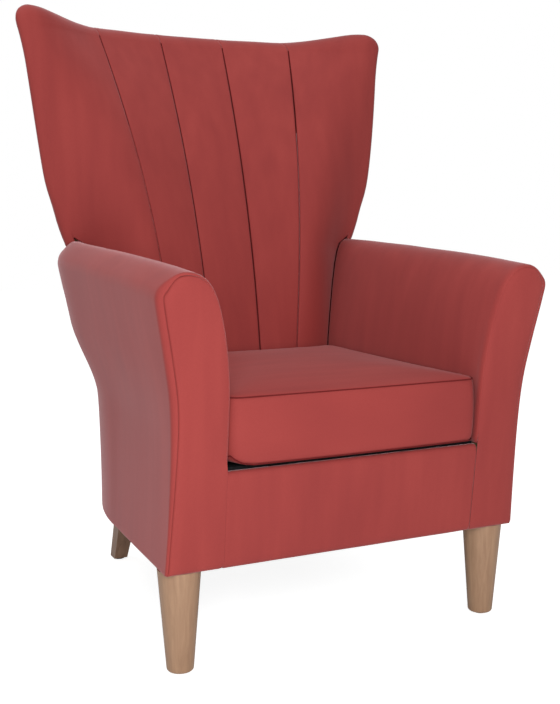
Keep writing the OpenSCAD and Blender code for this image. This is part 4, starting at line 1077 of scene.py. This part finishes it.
# The lower front corners: their lift, its run along X and its start inside the wall; its run along Y
CORNER_LIFTS = {-1: (24.0, 34.0, 8.0), 1: (6.0, 9.0, 2.0)}
CORNER_RUN_D = 70.0
REAR_RISE = 5.0
FOAM_IN = 3.0
CROWN = 17.0
CROWN_D = 170.0
LOW_INSETS = [200.0, 150.0, 105.0, 70.0, 42.0, 24.0, 12.0]
HIGH_INSETS = [5.0, 8.0, 13.0, 20.0, 30.0, 44.0, 62.0, 85.0, 112.0, 145.0, 180.0, 205.0]
WALL_ROWS = 16

# How the cushion swells: mesh size, gap below, held width by a seam, pressure, time and most movement
MESH_SIZE = 6.0
PRESS_GAP = 0.3
HELD_D = 5.0
PRESSURE = 4.0
SWELL_FRAMES = 20
SWELL_IN, SWELL_UP = 5.0, 4.0


def seat_half_w(y):
    return ARM_IN_X - 0.3 - ARM_TAPER * along_share(y, PLATFORM_H)


def side_x(y):
    drawn_in = FRONT_IN * ease(1 - (y - CUSHION_FRONT_Y) / FRONT_IN_RUN)
    return seat_half_w(y) - CUSHION_SIDE_GAP - drawn_in


def cushion_rear_y(x, z):
    return inside_y(x, z) - FLUTE_CROWN - CUSHION_REAR_GAP


def cushion_ring(d, up):
    """A closed ring round the cushion, at distance d inside its walls and height up."""
    z = CUSHION_LOW_H + up
    front = CUSHION_FRONT_Y + d
    r = max(CUSHION_CORNER_R - d / 2, REAR_CORNER_R)
    w = side_x(front + r) - d
    half = []
    for k in range(FRONT_POINTS):
        s = k / FRONT_POINTS
        half.append((s * (w - r), front - FRONT_BOW * (1 - s * s)))
    for k in range(CORNER_POINTS + 1):
        a = math.radians(-90 + 90 * k / CORNER_POINTS)
        half.append((w - r + r * math.cos(a), front + r + r * math.sin(a)))
    rear_w = side_x(cushion_rear_y(w, z) - d) - d
    side_y = cushion_rear_y(rear_w, z) - d - REAR_CORNER_R
    for k in range(1, SIDE_POINTS + 1):
        y = mix(front + r, side_y, k / SIDE_POINTS)
        half.append((side_x(y) - d, y))
    half.append((rear_w - REAR_CORNER_IN, side_y + REAR_CORNER_R - REAR_CORNER_IN))
    for k in range(REAR_POINTS - 1, -1, -1):
        s = k / REAR_POINTS
        half.append((s * rear_w, cushion_rear_y(s * rear_w, z) - d))
    ring = half + [(-x, y) for x, y in half[-2:0:-1]]
    return [np.array([x, y, z + corner_lift(x, y, up) + rear_lift(y, up)]) for x, y in ring]


def rear_lift(y, up):
    """The seat is a little thicker towards the back."""
    return REAR_RISE * clamp((y - CUSHION_FRONT_Y) / SEAT_D) * clamp(up / SEAM_HIGH)


def corner_lift(x, y, up):
    """The front corners of the lower seam are round, so they stand off the platform."""
    lift, run, inset = CORNER_LIFTS[1 if x > 0 else -1]
    a = clamp(1 - (side_x(y) - inset - abs(x)) / run)
    near = clamp(1 - (y - CUSHION_FRONT_Y) / CORNER_RUN_D) ** 2
    return lift * (1 - math.sqrt(1 - a * a)) * near * (1 - clamp(up / SEAM_HIGH))


def cushion_rings(depth=0.0):
    """Rings from the middle of the bottom round the wall to the middle of the top."""
    places = [(d, 0.5) for d in LOW_INSETS] + [(7.0, 1.2), (SEAM_IN, SEAM_LOW)]
    for k in range(1, WALL_ROWS):
        s = k / WALL_ROWS
        places.append((SEAM_IN * (1 - math.sin(math.pi * s) ** 0.5), mix(SEAM_LOW, SEAM_HIGH, s)))
    places.append((SEAM_IN, SEAM_HIGH))
    for d in HIGH_INSETS:
        places.append((d, SEAM_HIGH + CROWN * math.sin(math.pi / 2 * clamp(d / CROWN_D)) ** 0.75))
    rings = []
    for d, up in places:
        inwards = depth * mix(1, -1, clamp(up / SEAM_HIGH))
        rings.append(cushion_ring(d + depth, up + inwards))
    return rings


def closed_skin(rings):
    """A skin over rings of points, closed at both ends."""
    skin = Skin()
    skin.grid([ring + [ring[0]] for ring in rings])
    skin.faces.append([skin.add(p, 0.0) for p in rings[0]][::-1])
    skin.faces.append([skin.add(p, 0.0) for p in rings[-1]])
    return skin


def coordinates(mesh):
    flat = np.empty(len(mesh.vertices) * 3)
    mesh.vertices.foreach_get("co", flat)
    return flat.reshape(-1, 3)


def capped(move, most):
    """Scales one direction of a movement so that no point goes further than most."""
    return move * min(1.0, most / max(1e-9, float(np.abs(move).max())))


def swell(piece, seams):
    """Blows a closed piece up between its seams, whose points are held."""
    remesh = piece.modifiers.new("even mesh", "REMESH")
    remesh.mode = "VOXEL"
    remesh.voxel_size = MESH_SIZE * MM
    apply_modifiers(piece)
    start = coordinates(piece.data)
    seam = np.array(seams) * MM
    gaps = np.array([np.linalg.norm(seam - p, axis=1).min() for p in start])
    held = piece.vertex_groups.new(name="seams")
    held.add([int(i) for i in np.flatnonzero(gaps < HELD_D * MM)], 1.0, "REPLACE")
    cloth = piece.modifiers.new("swell", "CLOTH")
    cloth.settings.use_pressure = True
    cloth.settings.uniform_pressure_force = PRESSURE
    cloth.settings.effector_weights.gravity = 0.0
    cloth.settings.vertex_group_mass = held.name
    for frame_number in range(1, SWELL_FRAMES + 1):
        bpy.context.scene.frame_set(frame_number)
    graph = bpy.context.evaluated_depsgraph_get()
    moved = coordinates(piece.evaluated_get(graph).data) - start
    piece.modifiers.clear()
    bpy.context.scene.frame_set(1)
    piece.vertex_groups.clear()
    for axis, most in enumerate((SWELL_IN, SWELL_IN, SWELL_UP)):
        moved[:, axis] = capped(moved[:, axis], most * MM)
    piece.data.vertices.foreach_set("co", (start + moved).ravel())
    smooth = piece.modifiers.new("smooth", "SUBSURF")
    smooth.levels = smooth.render_levels = 1
    apply_modifiers(piece)


def press(piece):
    """Flattens the cushion where it meets the arms, the back and the platform."""
    points = coordinates(piece.data) / MM
    for p in points:
        w = side_x(p[1])
        p[0] = clamp(p[0], -w, w)
        p[1] = min(p[1], cushion_rear_y(p[0], p[2]))
        p[2] = max(p[2], CUSHION_LOW_H + PRESS_GAP)
    piece.data.vertices.foreach_set("co", (points * MM).ravel())
    piece.data.polygons.foreach_set("use_smooth", [True] * len(piece.data.polygons))
    piece.data.update()


def tube(name, path, r):
    """A thin cord along a closed path of points."""
    skin = Skin()
    rings = []
    for i, middle in enumerate(path):
        run = path[(i + 1) % len(path)] - path[i - 1]
        run = run / np.linalg.norm(run)
        across = np.cross(run, (0, 0, 1))
        across = across / max(1e-9, np.linalg.norm(across))
        up = np.cross(across, run)
        angles = np.linspace(0, 2 * math.pi, 9)
        rings.append([middle + r * (math.cos(a) * across + math.sin(a) * up) for a in angles])
    skin.grid(rings + [rings[0]])
    return skin.make(name)


def cushion():
    low, high = cushion_ring(SEAM_IN, SEAM_LOW), cushion_ring(SEAM_IN, SEAM_HIGH)
    piece = closed_skin(cushion_rings()).make("seat_cushion_cover")
    swell(piece, low + high)
    press(piece)
    place(piece, CUSHION_COVER, ["cushion_cover"], "seat_cushion")
    foam = closed_skin(cushion_rings(FOAM_IN)).make("seat_cushion_foam")
    place(foam, FOAM, ["cushion_foam"], "seat_cushion")
    # The seam cords take the dark seam material: painted shade along the cushion's seams
    for word, ring in (("lower", low), ("upper", high)):
        place(tube(f"cushion_seam_{word}", ring, SEAM_R), SEAM_SHADE, (), "seat_cushion")


cushion()

# The platform cloth under the cushion, and the dust cloth under the frame
PLATFORM_FRONT_Y = face_y(RAIL_TOP_H) + FACE_PAD_T + 0.3
PLATFORM_REAR_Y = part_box("platform_cover")[1][1] / MM
SHEET_T = 0.8
DUST_INSET = 12.0
DUST_RAIL_SHARE = 0.725
FRONT_LEG = (293.0, SEAT_FRONT_Y + 50.0, 37.0)
REAR_LEG = (192.0, SEAT_BACK_Y + 110.0, 25.0)


def cloth_sheet(name, outline, surface, holes, node_name):
    """A stretched sheet; its flat size is that of its outline."""
    skin = fill_skin(outline, [3.0, 9.0], 14.0, surface, holes)
    piece = place(skin.make(name, 1, SHEET_T), BLACK_CLOTH, [node_name])


def platform_cloth():
    front, rear = ((seat_half_w(y), y) for y in (PLATFORM_FRONT_Y, PLATFORM_REAR_Y))
    outline = [np.array(p) for p in ((-front[0], front[1]), front, rear, (-rear[0], rear[1]))]

    def surface(x, y, d):
        dip = 0.35 * (1 + waver(30, x / 60, y / 25)) * ease(d / 20)
        return np.array([x, y, PLATFORM_H - dip])

    cloth_sheet("platform_cloth", outline, surface, (), "platform_cover")


def dust_rail_x(y):
    """The outside of the seat frame at depth y, behind the arm's cover."""
    x = ARM_IN_X + ARM_W * DUST_RAIL_SHARE
    return min(arm_at((x, z), y)[0] for z in (LEG_H + 18.0, RAIL_TOP_H)) - COVER_T - 0.3


def dust_cloth():
    start, end = face_y(LEG_H) + DUST_INSET, rear_y(LEG_H) - COVER_T - DUST_INSET
    ys = [mix(start, end, k / 8) for k in range(9)]
    side = [np.array([dust_rail_x(y) - DUST_INSET / 2, y]) for y in ys]
    outline = side + [np.array([-x, y]) for x, y in side[::-1]]
    holes = []
    for way in (-1, 1):
        for (x, y, r), power in ((FRONT_LEG, 2), (REAR_LEG, 8)):
            ring = []
            for k in range(32):
                c, s = math.cos(k * math.pi / 16), math.sin(k * math.pi / 16)
                reach = r / (abs(c) ** power + abs(s) ** power) ** (1 / power)
                ring.append(np.array([way * x + reach * c, y + reach * s]))
            holes.append(ring)

    def surface(x, y, d):
        return np.array([x, y, LEG_H - 0.35 * (1 + waver(31, x / 70, y / 70)) * ease(d / 30)])

    cloth_sheet("dust_cloth", outline, surface, holes, "dust_cover")


platform_cloth()
dust_cloth()

# Nodes that stay as they are get their own materials
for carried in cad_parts.values():
    for part_slot in carried.material_slots:
        key = part_slot.material.name.split(".")[0] if part_slot.material else ""
        part_slot.material = NODE_MATERIALS.get(key, FRAME_WOOD)

# Floor, light and camera
FLOOR_HALF = 9.0
FLOOR_GLOW = 0.8
floor_mesh = bpy.data.meshes.new("floor")
floor_corners = [(x * FLOOR_HALF, y * FLOOR_HALF, 0) for x, y in ((-1, -1), (1, -1), (1, 1), (-1, 1))]
floor_mesh.from_pydata(floor_corners, [], [(0, 1, 2, 3)])
floor = bpy.data.objects.new("floor", floor_mesh)
bpy.context.scene.collection.objects.link(floor)
floor_material, floor_tree, floor_body = shader("floor", 0.9, Specular_IOR_Level=0.0)
set_inputs(floor_body, Base_Color=(0.9, 0.9, 0.9, 1.0), Emission_Color=(1.0, 1.0, 1.0, 1.0))
seen = floor_tree.nodes.new("ShaderNodeLightPath")
glow = floor_tree.nodes.new("ShaderNodeMath")
glow.operation = "MULTIPLY"
glow.inputs[1].default_value = FLOOR_GLOW
floor_tree.links.new(seen.outputs["Is Camera Ray"], glow.inputs[0])
floor_tree.links.new(glow.outputs[0], floor_body.inputs["Emission Strength"])
floor.data.materials.append(floor_material)


def area_light(name, spot, target, size, power):
    lamp = bpy.data.lights.new(name, "AREA")
    lamp.size = size
    lamp.energy = power
    made = bpy.data.objects.new(name, lamp)
    made.location = spot
    made.rotation_euler = (Vector(target) - Vector(spot)).to_track_quat("-Z", "Y").to_euler()
    bpy.context.scene.collection.objects.link(made)


area_light("key", (-0.78, -2.1, 1.0), (0.0, 0.0, 0.5), size=1.0, power=32.5)
area_light("top", (-0.55, 0.15, 2.9), (0.0, 0.0, 0.6), size=1.4, power=21.5)

SKY_LEVEL = 0.34
world = bpy.data.worlds.new("studio")
bpy.context.scene.world = world
world.use_nodes = True
sky = world.node_tree
back = sky.nodes["Background"]
set_inputs(back, Color=(1.0, 1.0, 1.0, 1.0))
path = sky.nodes.new("ShaderNodeLightPath")
level = sky.nodes.new("ShaderNodeMix")
level.inputs[2].default_value = SKY_LEVEL
level.inputs[3].default_value = 1.0
sky.links.new(path.outputs["Is Camera Ray"], level.inputs["Factor"])
sky.links.new(level.outputs[0], back.inputs["Strength"])

FOCAL_PIXELS = 1054.466
PICTURE_H = 704
SENSOR_W = 36.0
LOOK_DOWN, LOOK_RIGHT = 0.12311, 0.46047
lens = bpy.data.cameras.new("camera")
lens.sensor_fit = "AUTO"
lens.sensor_width = SENSOR_W
lens.lens = FOCAL_PIXELS / PICTURE_H * SENSOR_W
camera = bpy.data.objects.new("camera", lens)
camera.location = (-0.862855, -1.828190, 0.709548)
camera.rotation_euler = Euler((math.pi / 2 - LOOK_DOWN, 0.0, -LOOK_RIGHT))
bpy.context.scene.collection.objects.link(camera)
bpy.context.scene.camera = camera
bpy.context.scene.view_settings.view_transform = "Standard"
